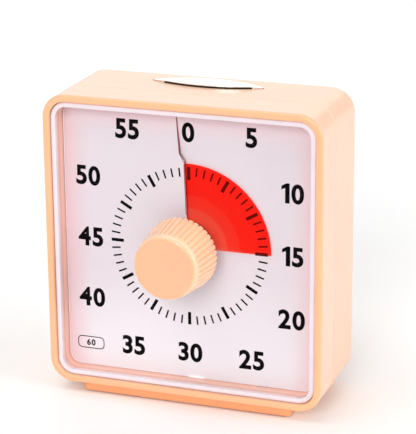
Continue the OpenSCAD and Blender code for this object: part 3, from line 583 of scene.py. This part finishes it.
def finishes(context):
    """All the materials by slot, made once from the scene's settings."""
    if FINISHES:
        return FINISHES
    case, dial = context.scene.timer_case, context.scene.timer_dial
    knob, button = context.scene.timer_knob, context.scene.timer_button
    lens, lug = context.scene.timer_lens, (1.0, 0.97, 0.98)
    FINISHES.update({
        # The paler colour laid over the bezel and the housing is painted sheen.
        "case_front": plastic("Peach bezel", tuple(case.front), 0.24, coat=0.1, inner=0.1,
                              over=[(tuple(case.rear), sheen_behind_front)]),
        "case_rear": plastic("Pale peach housing", tuple(case.rear), 0.24,
                             # Painted shade towards the housing's lower edge.
                             over=[(tuple(case.low), case_low_shade)]),
        # The ledge's colour is painted light in the recess.
        "ledge": plastic("Ledge", tuple(case.ledge), 0.3),
        "lens_clear": lens_window(),
        # Painted light on the window's rim.
        "lens_rim_light": window_painted_light("Window rim", tuple(lens.tone), 0.12, 0.12, tuple(case.ledge)),
        # Painted shade on the rim's rounded edge.
        "lens_edge_shade": window_painted_light("Window edge", tuple(lens.edge_shade), 0.12, 0.12),
        "lens_lug": window_painted_light("Window lug", lug, 0.2, 0.93),
        # The lug's end gives off painted light.
        "lug_end_light": window_painted_light("Window lug's end", lug, 0.2, 0.25, painted_glow=0.45),
        # Painted highlight where the rim meets the dial.
        "highlight_line": plastic("Bright bead", (0.98, 0.9, 0.92), 0.2, blend=0.01),
        # The sheet's paler foot and its pink border are painted light.
        "dial_print": plastic("Dial sheet", tuple(dial.sheet), 0.42, blend=0.006, ior=1.3,
                              over=[(tuple(dial.foot), sheet_low_light), (tuple(dial.wall_bounce), sheet_wall_bounce)]),
        "ink": plastic("Black print", tuple(dial.ink), 0.5, blend=0.1, ior=1.12),
        # Painted shadows of the slit's gap and of its step; the step's one also holds a painted red
        # reflection.
        "slit_shadow": plastic("Dark slit", (0.11, 0.004, 0.006), 0.5, blend=0.1, ior=1.12),
        "step_shadow": plastic("Fold line", (0.42, 0.12, 0.13), 0.5, blend=0.1, ior=1.12),
        "carrier_white": plastic("White carrier", (0.88, 0.86, 0.83), 0.45),
        "disc_red": disc_film(tuple(dial.disc)),
        # The knob's lighter side is a painted highlight.
        "knob_peach": plastic("Peach knob", tuple(knob.body), 0.23, coat=0.1, inner=0.12,
                              over=[(tuple(knob.side), knob_highlight)]),
        "steel": metal("Bright steel", (0.62, 0.63, 0.65), 0.25, (1, 8, 1)),
        "bushing_brass": metal("Turned brass", (0.72, 0.5, 0.2), 0.25, (1, 12, 1)),
        "gear_plastic": plastic("Gear plastic", (0.87, 0.85, 0.8), 0.4),
        "coil_copper": metal("Enamelled copper", (0.6, 0.24, 0.08), 0.3, (30, 1, 1), 1500),
        "movement_grey": plastic("Movement case", (0.68, 0.71, 0.73), 0.45),
        "board_green": plastic("Solder mask", (0.03, 0.16, 0.07), 0.3, blend=0.2),
        "component_black": plastic("Black component", (0.03, 0.03, 0.035), 0.45, blend=0.2),
        "slider_white": plastic("Slider", (0.9, 0.87, 0.8), 0.38),
        "button_chrome": metal("Bright plating", tuple(button.plating), 0.045, (1, 1, 1), 600, 0.02),
        # Painted shadow where the button meets the case.
        "button_shadow": plastic("Dark gap", (0.02, 0.009, 0.005), 0.6, blend=0.1, ior=1.2),
        "battery_sleeve": plastic("Battery sleeve", (0.05, 0.11, 0.24), 0.28, blend=0.1, coat=0.4),
        "lead_red": plastic("Lead", (0.5, 0.03, 0.02), 0.45),
        "foot_orange": plastic("Orange foot", tuple(case.foot), 0.36, inner=0.1),
        "pad_rubber": plastic("Rubber pad", (0.1, 0.09, 0.09), 0.8, grain=0.3, blend=0.15),
    })
    return FINISHES


# ---- Case ----

class MakeBezel(bpy.types.Operator):
    """Make the bezel: a profile with a ledge, swept round the case's outline"""
    bl_idname = "timer.bezel"
    bl_label = "Bezel"

    def execute(self, context):
        size = context.scene.timer_case
        outline = (CASE_HIGH.x - CASE_LOW.x, CASE_HIGH.z - CASE_LOW.z, size.corner)
        groove, ledge = 0.18 * MM, 1.4 * MM
        wall, edge, lip = size.wall, size.edge, size.lip
        profile = [(groove, SEAM_Y), (0, SEAM_Y - groove)]
        profile += arc((edge, edge), edge, 180, 270, 7)
        profile += arc((wall - lip, lip), lip, 270, 360, 5)
        profile += [(wall, LEDGE_Y), (wall + ledge, LEDGE_Y), (wall + ledge, SHEET_Y),
                    (wall, SHEET_Y), (wall, SEAM_Y)]
        bm = bmesh.new()
        sweep_frame(bm, *outline, profile)
        close(bm)
        past_wall = wall + 0.1 * MM
        for face in bm.faces:
            if inset_of(face, *outline) > past_wall:
                face.material_index = 1
        finish = finishes(context)
        make_piece("bezel", bm, "case", [finish["case_front"], finish["ledge"]],
                   ["front_bezel"], place=DIAL)
        return {"FINISHED"}


class MakeHousing(bpy.types.Operator):
    """Make the rear housing, the battery door, the volume slider and the foot"""
    bl_idname = "timer.housing"
    bl_label = "Housing and foot"

    def execute(self, context):
        smooth_node(context, "housing", "rear_housing", "case_rear")
        smooth_node(context, "door", "battery_door", "case_rear")
        smooth_node(context, "slider", "volume_slider", "slider_white")
        smooth_node(context, "foot_plate", "foot", "foot_orange")
        return {"FINISHED"}


# The window's lugs: their places across, and their widths. They stand at the top and the bottom.
LUGS = ((1.9 * MM, 4.8 * MM), (21.7 * MM, 3 * MM))


def make_window(finish, size, outline):
    """The window: a thick rim swept round its outline, and a plate with a hole for the knob."""
    bm = bmesh.new()
    profile = [(size.rim, LENS_Y)] + arc((size.edge, LENS_Y + size.edge), size.edge, 270, 180, 6)
    profile += [(0, LEDGE_Y), (size.rim, LEDGE_Y)]
    sweep_frame(bm, *outline, profile)
    rounding = size.edge * 0.9
    # The rounded edge takes the painted shade, the rest of the rim the painted light.
    for face in bm.faces:
        face.material_index = 2 if inset_of(face, *outline) < rounding else 1
    back = LENS_Y + size.thickness
    plate = size.rim + 0.01 * MM
    borders = sweep_frame(bm, *outline, [(plate, LENS_Y), (plate, back)], closed=False)
    holes = []
    for border, depth in zip(borders, (LENS_Y, back)):
        hole = circle(bm, size.hole, depth, 64)
        bmesh.ops.triangle_fill(bm, use_beauty=True, edges=border + hole)
        holes += hole
    bmesh.ops.bridge_loops(bm, edges=holes)
    close(bm)
    for face in bm.faces:
        if abs(inset_of(face, *outline) - plate) < 2 * NEAR:
            face.material_index = 1
    make_piece("window", bm, "case",
               [finish["lens_clear"], finish["lens_rim_light"], finish["lens_edge_shade"]], ["lens"], place=DIAL)


def make_lugs(finish, size, height):
    """The window's lugs: nearly clear blocks behind it. The wide ones have a bright end that gives off
    painted light.
    """
    lug_h, rounding = 0.6 * MM, 0.12 * MM
    front = LENS_Y + size.thickness + 0.05 * MM
    depth = SHEET_Y - LENS_Y - size.thickness - 0.45 * MM
    up = height / 2 - size.rim - 0.22 * MM
    bm = bmesh.new()
    for x, lug_w in LUGS:
        for side in (-1, 1):
            place = Matrix.Translation((x, front + depth / 2, side * up))
            block = Matrix.Diagonal((lug_w, depth, lug_h, 1))
            bmesh.ops.create_cube(bm, size=1, matrix=place @ block)
    bmesh.ops.bevel(bm, geom=bm.edges[:], offset=rounding, segments=2, profile=0.5,
                    affect="EDGES", material=-1)
    between = (LUGS[0][0] + LUGS[1][0]) / 2
    for face in bm.faces:
        wide = face.calc_center_median().x < between
        face.material_index = 1 if wide and face.normal.y > 0.9 else 0
    make_piece("window_lugs", bm, "case", [finish["lens_lug"], finish["lug_end_light"]],
               place=DIAL)


def make_highlight_line(finish, size, outline):
    """A bright line where the window's rim ends before the dial sheet: a painted highlight."""
    half = size.highlight_line / 2
    middle = SHEET_Y - half - 0.04 * MM
    bm = bmesh.new()
    sweep_frame(bm, *outline, arc((size.rim + half, middle), half, 0, 315, 7))
    close(bm)
    make_piece("dial_highlight_line", bm, "case", [finish["highlight_line"]], place=DIAL)


class MakeLens(bpy.types.Operator):
    """Make the clear window, its painted bright rim and lugs, and the painted highlight round the dial
    """
    bl_idname = "timer.lens"
    bl_label = "Lens"

    def execute(self, context):
        finish, size, case = finishes(context), context.scene.timer_lens, context.scene.timer_case
        width, height = LENS_HIGH.x - LENS_LOW.x, LENS_HIGH.z - LENS_LOW.z
        outline = (width, height, case.corner - case.wall)
        make_window(finish, size, outline)
        make_lugs(finish, size, height)
        make_highlight_line(finish, size, outline)
        return {"FINISHED"}


# ---- Dial ----

DIAL_TREE = BVHTree.FromPolygons(
    [v.co for v in frame["nodes"]["dial_sheet"].data.vertices],
    [tuple(p.vertices) for p in frame["nodes"]["dial_sheet"].data.polygons])

# A y in the part's frame that lies before the timer.
BEFORE_Y = -40 * MM

# Width and length of the ticks at every fifth minute and at the others.
LONG_TICK, SHORT_TICK = (0.92 * MM, 3.65 * MM), (0.46 * MM, 2.5 * MM)

# Middles of the dial's numbers and of its outlined box, in millimetres from the dial's middle.
NUMBER_PLACES = {
    "0": (0.1, 32.6), "5": (18.1, 32.6), "10": (29.7, 18.1), "15": (29.8, 0.3), "20": (29.6, -17.9),
    "25": (18.1, -31.2), "30": (0.1, -31.1), "35": (-16.9, -31.1), "40": (-29.2, -17.9),
    "45": (-29.1, 0.1), "50": (-29.4, 17.9), "55": (-17.5, 32.2),
}
BOX_PLACE = (-29.95, -31.85)

# The digits' extra weight and their width, in shares of the font's own.
DIGIT_WEIGHT, DIGIT_WIDTH = 0.033, 0.96

# Painted shadows along the slit and its step, laid as thin dark lines; the step's line is also a
# painted red reflection. Name, finish and the points they run through, in millimetres from the
# dial's middle.
SLIT_SHADOWS = (
    ("slit_shadow_line", "slit_shadow", ((-0.45, 9.5), (-0.6, 14), (-0.78, 19), (-0.93, 23.9))),
    ("step_shadow_line", "step_shadow", ((-0.95, 24.2), (-2.24, 26.6), (-2.4, 29), (-2.65, 32), (-2.95, 35),
                               (-3.2, 38))),
)
LINE_HALF = 0.08


def sheet_y(x, z):
    """The part's y on the front of the dial sheet, at a place on it."""
    hit = DIAL_TREE.ray_cast(Vector((x, BEFORE_Y, z)), Vector((0, 1, 0)))[0]
    if hit is None:
        hit = DIAL_TREE.find_nearest(Vector((x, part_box("dial_sheet")[0].y, z)))[0]
    return hit.y


def lay_print(name, bm, context, ink="ink"):
    """Lays flat marks on the dial sheet and gives them the print's thickness."""
    depth = context.scene.timer_dial.print_depth
    sunk = 0.3 * depth
    bmesh.ops.transform(bm, matrix=DIAL, verts=bm.verts)
    for vert in bm.verts:
        vert.co.y = sheet_y(vert.co.x, vert.co.z) + sunk
    raised = bmesh.ops.extrude_face_region(bm, geom=bm.faces[:], use_keep_orig=True)["geom"]
    bmesh.ops.translate(bm, verts=verts_in(raised), vec=(0, -sunk - depth, 0))
    bmesh.ops.recalc_face_normals(bm, faces=bm.faces)
    make_piece(name, bm, "case", [finishes(context)[ink]], crease=30)


class MakeDial(bpy.types.Operator):
    """Make the dial sheet and the ring of ticks on it"""
    bl_idname = "timer.dial"
    bl_label = "Dial"

    def execute(self, context):
        outer = context.scene.timer_dial.tick_outer
        smooth_node(context, "dial_face", "dial_sheet", "dial_print", curved=True)
        bm = bmesh.new()
        for minute in range(60):
            tick_w, tick_l = LONG_TICK if minute % 5 == 0 else SHORT_TICK
            place = (Matrix.Rotation(math.radians(6 * minute), 4, "Y")
                     @ Matrix.Translation((0, 0, outer - tick_l / 2)))
            bmesh.ops.create_grid(bm, x_segments=1, y_segments=4, size=0.5,
                                  matrix=place @ FACING @ Matrix.Diagonal((tick_w, tick_l, 1, 1)))
        lay_print("dial_ticks", bm, context)
        return {"FINISHED"}


def font_digit(digit, height):
    """A digit that faces the front as a flat bmesh, from x = 0 and z = 0 up, and its width."""
    curve = bpy.data.curves.new("text", "FONT")
    curve.body = digit
    curve.size = 1
    curve.offset = DIGIT_WEIGHT
    curve.resolution_u = 6
    holder = bpy.data.objects.new("text", curve)
    bpy.context.scene.collection.objects.link(holder)
    mesh = bpy.data.meshes.new_from_object(holder.evaluated_get(bpy.context.evaluated_depsgraph_get()))
    bpy.data.objects.remove(holder)
    bpy.data.curves.remove(curve)
    bm = bmesh.new()
    bm.from_mesh(mesh)
    bpy.data.meshes.remove(mesh)
    bmesh.ops.remove_doubles(bm, verts=bm.verts, dist=1e-5)
    xs, ys = [v.co.x for v in bm.verts], [v.co.y for v in bm.verts]
    scale = height / (max(ys) - min(ys))
    corner = Matrix.Translation((-min(xs), -min(ys), 0))
    size = Matrix.Diagonal((scale * DIGIT_WIDTH, scale, 1, 1))
    bmesh.ops.transform(bm, matrix=FACING @ size @ corner, verts=bm.verts)
    return bm, (max(xs) - min(xs)) * scale * DIGIT_WIDTH


def digit_one(height):
    """The digit one, as a stem with a flag, and its width."""
    bm = bmesh.new()
    stem, flag, thick = 0.225 * height, 0.19 * height, 0.18 * height
    flag_top = height - flag * 0.8
    outline = ((flag, 0), (flag + stem, 0), (flag + stem, height), (flag + stem * 0.3, height),
               (0, flag_top), (0, flag_top - thick), (flag, height - thick * 1.35))
    bm.faces.new([bm.verts.new((x, 0, z)) for x, z in outline])
    bm.normal_update()
    bmesh.ops.triangulate(bm, faces=bm.faces)
    return bm, flag + stem


def number_mesh(number, height, gap):
    """A number as a bmesh round the origin, set digit by digit."""
    whole, at = bmesh.new(), 0.0
    for digit in number:
        bm, width = digit_one(height) if digit == "1" else font_digit(digit, height)
        bmesh.ops.translate(bm, verts=bm.verts, vec=(at, 0, 0))
        part = bpy.data.meshes.new("digit")
        bm.to_mesh(part)
        bm.free()
        whole.from_mesh(part)
        bpy.data.meshes.remove(part)
        at += width + gap
    bmesh.ops.translate(whole, verts=whole.verts, vec=(-(at - gap) / 2, 0, -height / 2))
    return whole


def slice_print(bm, step):
    """Cuts flat marks along a grid, so that they can follow the dial's curve."""
    for axis in (0, 2):
        low, high = (pick(v.co[axis] for v in bm.verts) for pick in (min, max))
        for i in range(1, int((high - low) / step) + 1):
            at, normal = Vector(), Vector()
            at[axis], normal[axis] = low + i * step, 1
            bmesh.ops.bisect_plane(bm, geom=bm.verts[:] + bm.edges[:] + bm.faces[:], plane_co=at,
                                   plane_no=normal, dist=SAME)


def outlined_box(width, height, corner, line):
    """The outline of a rounded box as a flat bmesh round the origin."""
    bm = bmesh.new()
    face = bmesh.ops.contextual_create(bm, geom=rounded_loop(bm, width, height, corner, 0, 6))["faces"]
    bmesh.ops.inset_region(bm, faces=face, thickness=line, use_even_offset=True, use_boundary=True)
    bmesh.ops.delete(bm, geom=face, context="FACES_ONLY")
    return bm


class MakeNumbers(bpy.types.Operator):
    """Make the dial's numbers and its small outlined box"""
    bl_idname = "timer.numbers"
    bl_label = "Numbers"

    def execute(self, context):
        size = context.scene.timer_dial
        marks = []
        for number, place in NUMBER_PLACES.items():
            bm = number_mesh(number, size.number_height, size.digit_gap)
            slice_print(bm, 1.5 * MM)
            marks.append((f"number_{number}", bm, place))
        marks.append(("number_box", outlined_box(8.1 * MM, 3.7 * MM, 1.3 * MM, 0.25 * MM), BOX_PLACE))
        marks.append(("box_number", number_mesh("60", 1.9 * MM, 0.25 * MM), BOX_PLACE))
        for name, bm, (x, z) in marks:
            bmesh.ops.translate(bm, verts=bm.verts, vec=(x * MM, 0, z * MM))
            lay_print(name, bm, context)
        return {"FINISHED"}


class MakeDisc(bpy.types.Operator):
    """Make the red time disc and the painted shadows along the dial's slit"""
    bl_idname = "timer.disc"
    bl_label = "Time disc"

    def execute(self, context):
        smooth_node(context, "red_disc", "time_disc", "disc_red", curved=True)
        # Each line is a painted shadow, laid like print.
        for name, ink, points in SLIT_SHADOWS:
            bm = bmesh.new()
            left, right = ([bm.verts.new(((x + side) * MM, 0, z * MM)) for x, z in points]
                           for side in (-LINE_HALF, LINE_HALF))
            for i in range(len(points) - 1):
                bm.faces.new((left[i], left[i + 1], right[i + 1], right[i]))
            lay_print(name, bm, context, ink)
        return {"FINISHED"}


# ---- Knob ----

# Shares of the way back along the knob's side where its profile has a point.
SIDE_STEPS = (0.06, 0.12, 0.2, 0.3, 0.45, 0.6, 0.75, 0.9, 0.97, 1)

# Half the groove's width and the width of its flank, in shares of half the space from rib to rib.
GROOVE_HALF, GROOVE_FLANK = 0.38, 0.3


def knob_profile(size, knob_r, front, back):
    """Points of (radius, depth) from the middle of the knob's front over its edge to its back."""
    front_r = knob_r - 1.3 * MM
    side_front = front + size.edge
    flat_r = front_r - size.edge
    face = [(0, front), (3 * MM, front), (flat_r - 0.6 * MM, front)]
    side = [(front_r + (knob_r - front_r) * t, side_front + (back - side_front) * t)
            for t in SIDE_STEPS]
    return face + arc((flat_r, side_front), size.edge, -90, 0, 8) + side


def press_groove(bm, size, sector, start):
    """Presses a groove into the middle of a sector of the knob's side, eased in from its front."""
    for vert in bm.verts:
        reach = math.hypot(vert.co.x, vert.co.z)
        if vert.co.y < start or reach < NEAR:
            continue
        turned = abs(math.atan2(vert.co.z, vert.co.x)) / sector
        aside = abs(turned - 0.5) * 2
        eased = smooth_step((vert.co.y - start) / (1.1 * MM))
        deep = size.groove * eased * smooth_step((GROOVE_HALF - aside) / GROOVE_FLANK)
        vert.co.x *= (reach - deep) / reach
        vert.co.z *= (reach - deep) / reach


def hollow_knob(bm, front, back):
    """Closes the knob's back: a hollow with a boss in it, and the shaft's bore in the boss."""
    hollow_r, draft, boss_r, bore_r = 8 * MM, 1.1 * MM, 4.5 * MM, 2.02 * MM
    floor_y, bore_y, boss_y = front + 2.8 * MM, front + 4 * MM, 2.7 * MM
    last = [edge for edge in bm.edges if edge.is_boundary]
    for radius, depth in ((hollow_r, back), (hollow_r - draft, floor_y), (boss_r, floor_y),
                          (boss_r, boss_y), (bore_r, boss_y), (bore_r, bore_y)):
        ring = circle(bm, radius, depth, 80)
        bmesh.ops.bridge_loops(bm, edges=last + ring)
        last = ring
    bmesh.ops.contextual_create(bm, geom=last)


class MakeKnob(bpy.types.Operator):
    """Make the ribbed knob: one rib's sector is spun, shaped and then repeated round the axis"""
    bl_idname = "timer.knob"
    bl_label = "Knob"

    def execute(self, context):
        size = context.scene.timer_knob
        front = KNOB_LOW.y - DIAL.translation.y
        back = front + 12.8 * MM
        sector = 2 * math.pi / size.ribs
        bm = bmesh.new()
        profile = knob_profile(size, (KNOB_HIGH.x - KNOB_LOW.x) / 2, front, back)
        row = chain(bm, [(r, y, 0) for r, y in profile])
        bmesh.ops.spin(bm, geom=row, cent=(0, 0, 0), axis=(0, 1, 0), angle=sector, steps=10,
                       use_merge=False, use_duplicate=False)
        press_groove(bm, size, sector, front + size.edge + 0.4 * MM)
        bmesh.ops.spin(bm, geom=bm.verts[:] + bm.edges[:] + bm.faces[:], cent=(0, 0, 0), axis=(0, 1, 0),
                       angle=2 * math.pi, steps=size.ribs, use_merge=False, use_duplicate=True)
        bmesh.ops.remove_doubles(bm, verts=bm.verts, dist=2 * NEAR)
        hollow_knob(bm, front, back)
        close(bm)
        make_piece("knob_body", bm, "knob", [finishes(context)["knob_peach"]], ["knob"],
                   crease=50, place=DIAL)
        return {"FINISHED"}


# ---- Top button ----

def oval_crown(bm, size, top, middle_y):
    """Makes the button's crown, a pointed oval domed both ways, and gives its rim."""
    half_l, half_w, tip_fall = size.oval_length / 2, size.oval_width / 2, 1.15 * MM
    arc_r = arc_radius(half_l, half_w)
    crown_r = arc_radius(half_l, tip_fall)
    side_r = arc_radius(half_w, size.fall)
    for vert in bmesh.ops.create_grid(bm, x_segments=56, y_segments=14, size=1)["verts"]:
        x = half_l * math.sin(vert.co.x * math.pi / 2)
        reach = max(0.0, math.sqrt(arc_r ** 2 - x ** 2) - (arc_r - half_w))
        y = reach * vert.co.y
        along = crown_r - math.sqrt(crown_r ** 2 - x ** 2)
        across = side_r - math.sqrt(side_r ** 2 - y ** 2)
        vert.co = (x, middle_y + y, top - along - across)
    bmesh.ops.remove_doubles(bm, verts=bm.verts, dist=0.02 * MM)
    return [edge for edge in bm.edges if edge.is_boundary]


def shade_button_foot(bm, size, case_z):
    """Paints a shadow on the foot of the button's side in the dark finish, but not beside its points."""
    band_z, half_l = case_z + size.shadow, size.oval_length / 2
    left, right, tip = -0.75 * half_l, 0.83 * half_l, 0.985 * half_l
    bmesh.ops.bisect_plane(bm, geom=bm.verts[:] + bm.edges[:] + bm.faces[:],
                           plane_co=(0, 0, band_z), plane_no=(0, 0, 1), dist=NEAR)
    for face in bm.faces:
        at = face.calc_center_median()
        beside = left < at.x < right or abs(at.x) > tip
        if beside and at.z < band_z and abs(face.normal.z) < 0.6:
            face.material_index = 1


def add_collar(bm, size, middle_y, roof):
    """The flat collar under the case's wall, which keeps the button in."""
    wing, margin, thick = 1.6 * MM, 1 * MM, 1.1 * MM
    place = Matrix.Translation((0, middle_y, roof - thick / 2))
    block = Matrix.Diagonal((size.oval_length + 2 * wing, size.oval_width + 2 * margin, thick, 1))
    verts = bmesh.ops.create_cube(bm, size=1, matrix=place @ block)["verts"]
    bmesh.ops.bevel(bm, geom=edges_of(verts), offset=0.15 * MM, segments=2, profile=0.5,
                    affect="EDGES", material=-1, clamp_overlap=True)


def make_spring(context):
    """The button's spring: a smooth copy of its CAD node, with a mesh of its own."""
    spring = smooth_node(context, "press_spring", "button_spring", "steel")
    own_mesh(spring)


class MakeButton(bpy.types.Operator):
    """Make the plated oval button with its domed crown, collar and plunger, and its spring"""
    bl_idname = "timer.button"
    bl_label = "Top button"

    def execute(self, context):
        size, wall, case_z = context.scene.timer_button, context.scene.timer_case.wall, CASE_HIGH.z
        low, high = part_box("top_button")
        middle_y = (low.y + high.y) / 2
        foot_z, stem_r = case_z - 2.3 * MM, 1.4 * MM
        bm = bmesh.new()
        rim = oval_crown(bm, size, high.z, middle_y)
        sides = bmesh.ops.extrude_edge_only(bm, edges=rim)["geom"]
        for vert in verts_in(sides):
            vert.co.z = foot_z
        bmesh.ops.contextual_create(bm, geom=rim_in(sides))
        bmesh.ops.recalc_face_normals(bm, faces=bm.faces)
        bmesh.ops.bevel(bm, geom=[edge for edge in rim if edge.is_valid], offset=0.22 * MM, segments=4,
                        profile=0.5, affect="EDGES", material=-1, clamp_overlap=True)
        shade_button_foot(bm, size, case_z)
        add_collar(bm, size, middle_y, case_z - wall)
        bmesh.ops.create_cone(
            bm, cap_ends=True, segments=32, radius1=stem_r, radius2=stem_r, depth=foot_z - low.z,
            matrix=Matrix.Translation((0, middle_y, (foot_z + low.z) / 2)))
        finish = finishes(context)
        make_piece("oval_button", bm, "button",
                   [finish["button_chrome"], finish["button_shadow"]], ["top_button"], crease=40)
        make_spring(context)
        return {"FINISHED"}


# ---- Insides ----

class FinishInsides(bpy.types.Operator):
    """Give every CAD node its finish"""
    bl_idname = "timer.insides"
    bl_label = "Insides"

    def execute(self, context):
        finish = finishes(context)
        slots = {part["node"]: part["material_slot"] for part in frame["record"]["subparts"]}
        for name, node in frame["nodes"].items():
            node.data.materials.clear()
            node.data.materials.append(finish[slots[name]])
        return {"FINISHED"}


# ---- Stage ----

def aim(obj, target):
    """Points an object's -Z at a place."""
    obj.rotation_euler = (Vector(target) - obj.location).to_track_quat("-Z", "Y").to_euler()


def light(name, kind, energy):
    """A new light in the scene."""
    data = bpy.data.lights.new(name, kind)
    data.energy = energy
    made = bpy.data.objects.new(name, data)
    bpy.context.scene.collection.objects.link(made)
    return made


def sun(name, azimuth, elevation, spread, energy):
    """Even light from one side: angles in degrees, round from the front and up from the floor."""
    made = light(name, "SUN", energy)
    made.data.angle = math.radians(spread)
    across, up = math.radians(azimuth), math.radians(elevation)
    made.location = (math.sin(across) * math.cos(up), -math.cos(across) * math.cos(up), math.sin(up))
    aim(made, (0, 0, 0))


def panel(name, place, target, width, height, energy):
    """A wide bright panel, which shows in the glossy surfaces."""
    made = light(name, "AREA", energy)
    made.data.shape = "RECTANGLE"
    made.data.size, made.data.size_y = width, height
    made.location = place
    aim(made, target)


def make_floor(scene, tone):
    """A wide plain floor under the timer."""
    bm = bmesh.new()
    bmesh.ops.create_grid(bm, x_segments=1, y_segments=1, size=6)
    mesh = bpy.data.meshes.new("floor")
    bm.to_mesh(mesh)
    bm.free()
    mesh.materials.append(plastic("Floor", tone, 0.7, grain=0.0, blend=0.004))
    floor = bpy.data.objects.new("floor", mesh)
    scene.collection.objects.link(floor)


def make_lights(scene, studio):
    """The pale surround, three suns and the panel behind."""
    world = bpy.data.worlds.new("Studio")
    world.use_nodes = True
    surround = world.node_tree.nodes["Background"]
    surround.inputs["Color"].default_value = (1, 1, 1, 1)
    surround.inputs["Strength"].default_value = studio.world_light
    scene.world = world
    sun("front", 4, 25, 25, studio.front_light)
    sun("key", -40, 72, 40, studio.key_light)
    sun("side", 80, 20, 30, studio.side_light)
    panel("back", (-0.45, 1.3, 0.8), (0, 0, 0.08), 1.6, 1.5, studio.back_light)


def make_camera(scene):
    """The camera before the timer, a little to the right of it and above."""
    eye = bpy.data.cameras.new("camera")
    eye.lens, eye.sensor_width = 160.36, 36
    camera = bpy.data.objects.new("camera", eye)
    azimuth, elevation, roll = (math.radians(a) for a in (19.75, 18.085, -0.5))
    camera.rotation_euler = (
        Matrix.Rotation(azimuth, 3, "Z") @ Matrix.Rotation(math.pi / 2 - elevation, 3, "X")
        @ Matrix.Rotation(roll, 3, "Z")).to_euler()
    camera.location = (0.174786, -0.480767, 0.217677)
    scene.collection.objects.link(camera)
    scene.camera = camera


class MakeStage(bpy.types.Operator):
    """Make the floor, the soft light and the camera"""
    bl_idname = "timer.stage"
    bl_label = "Stage"

    def execute(self, context):
        scene, studio = context.scene, context.scene.timer_studio
        make_floor(scene, tuple(studio.floor))
        make_lights(scene, studio)
        make_camera(scene)
        scene.view_settings.view_transform = "Standard"
        scene.cycles.transparent_max_bounces = 16
        return {"FINISHED"}


# ---- Panel and registration ----

STEPS = (MakeBezel, MakeHousing, MakeLens, MakeDial, MakeNumbers, MakeDisc, MakeKnob, MakeButton,
         FinishInsides, MakeStage)

SETTINGS = {
    "timer_case": CaseSettings, "timer_lens": LensSettings, "timer_dial": DialSettings,
    "timer_knob": KnobSettings, "timer_button": ButtonSettings, "timer_studio": StudioSettings,
}


class TimerPanel(bpy.types.Panel):
    """The timer's settings and its steps"""
    bl_idname = "VIEW3D_PT_timer"
    bl_label = "Countdown timer"
    bl_space_type = "VIEW_3D"
    bl_region_type = "UI"
    bl_category = "Timer"

    def draw(self, context):
        for name in SETTINGS:
            box = self.layout.box()
            group = getattr(context.scene, name)
            for key in group.bl_rna.properties.keys():
                if key not in ("rna_type", "name"):
                    box.prop(group, key)
        for step in STEPS:
            self.layout.operator(step.bl_idname)


CLASSES = (*SETTINGS.values(), *STEPS, TimerPanel)


def register():
    for made in CLASSES:
        bpy.utils.register_class(made)
    for name, group in SETTINGS.items():
        setattr(bpy.types.Scene, name, PointerProperty(type=group))


def unregister():
    for name in SETTINGS:
        delattr(bpy.types.Scene, name)
    for made in reversed(CLASSES):
        bpy.utils.unregister_class(made)


def main():
    register()
    for step in STEPS:
        group, name = step.bl_idname.split(".")
        getattr(getattr(bpy.ops, group), name)()


if __name__ == "__main__":
    main()
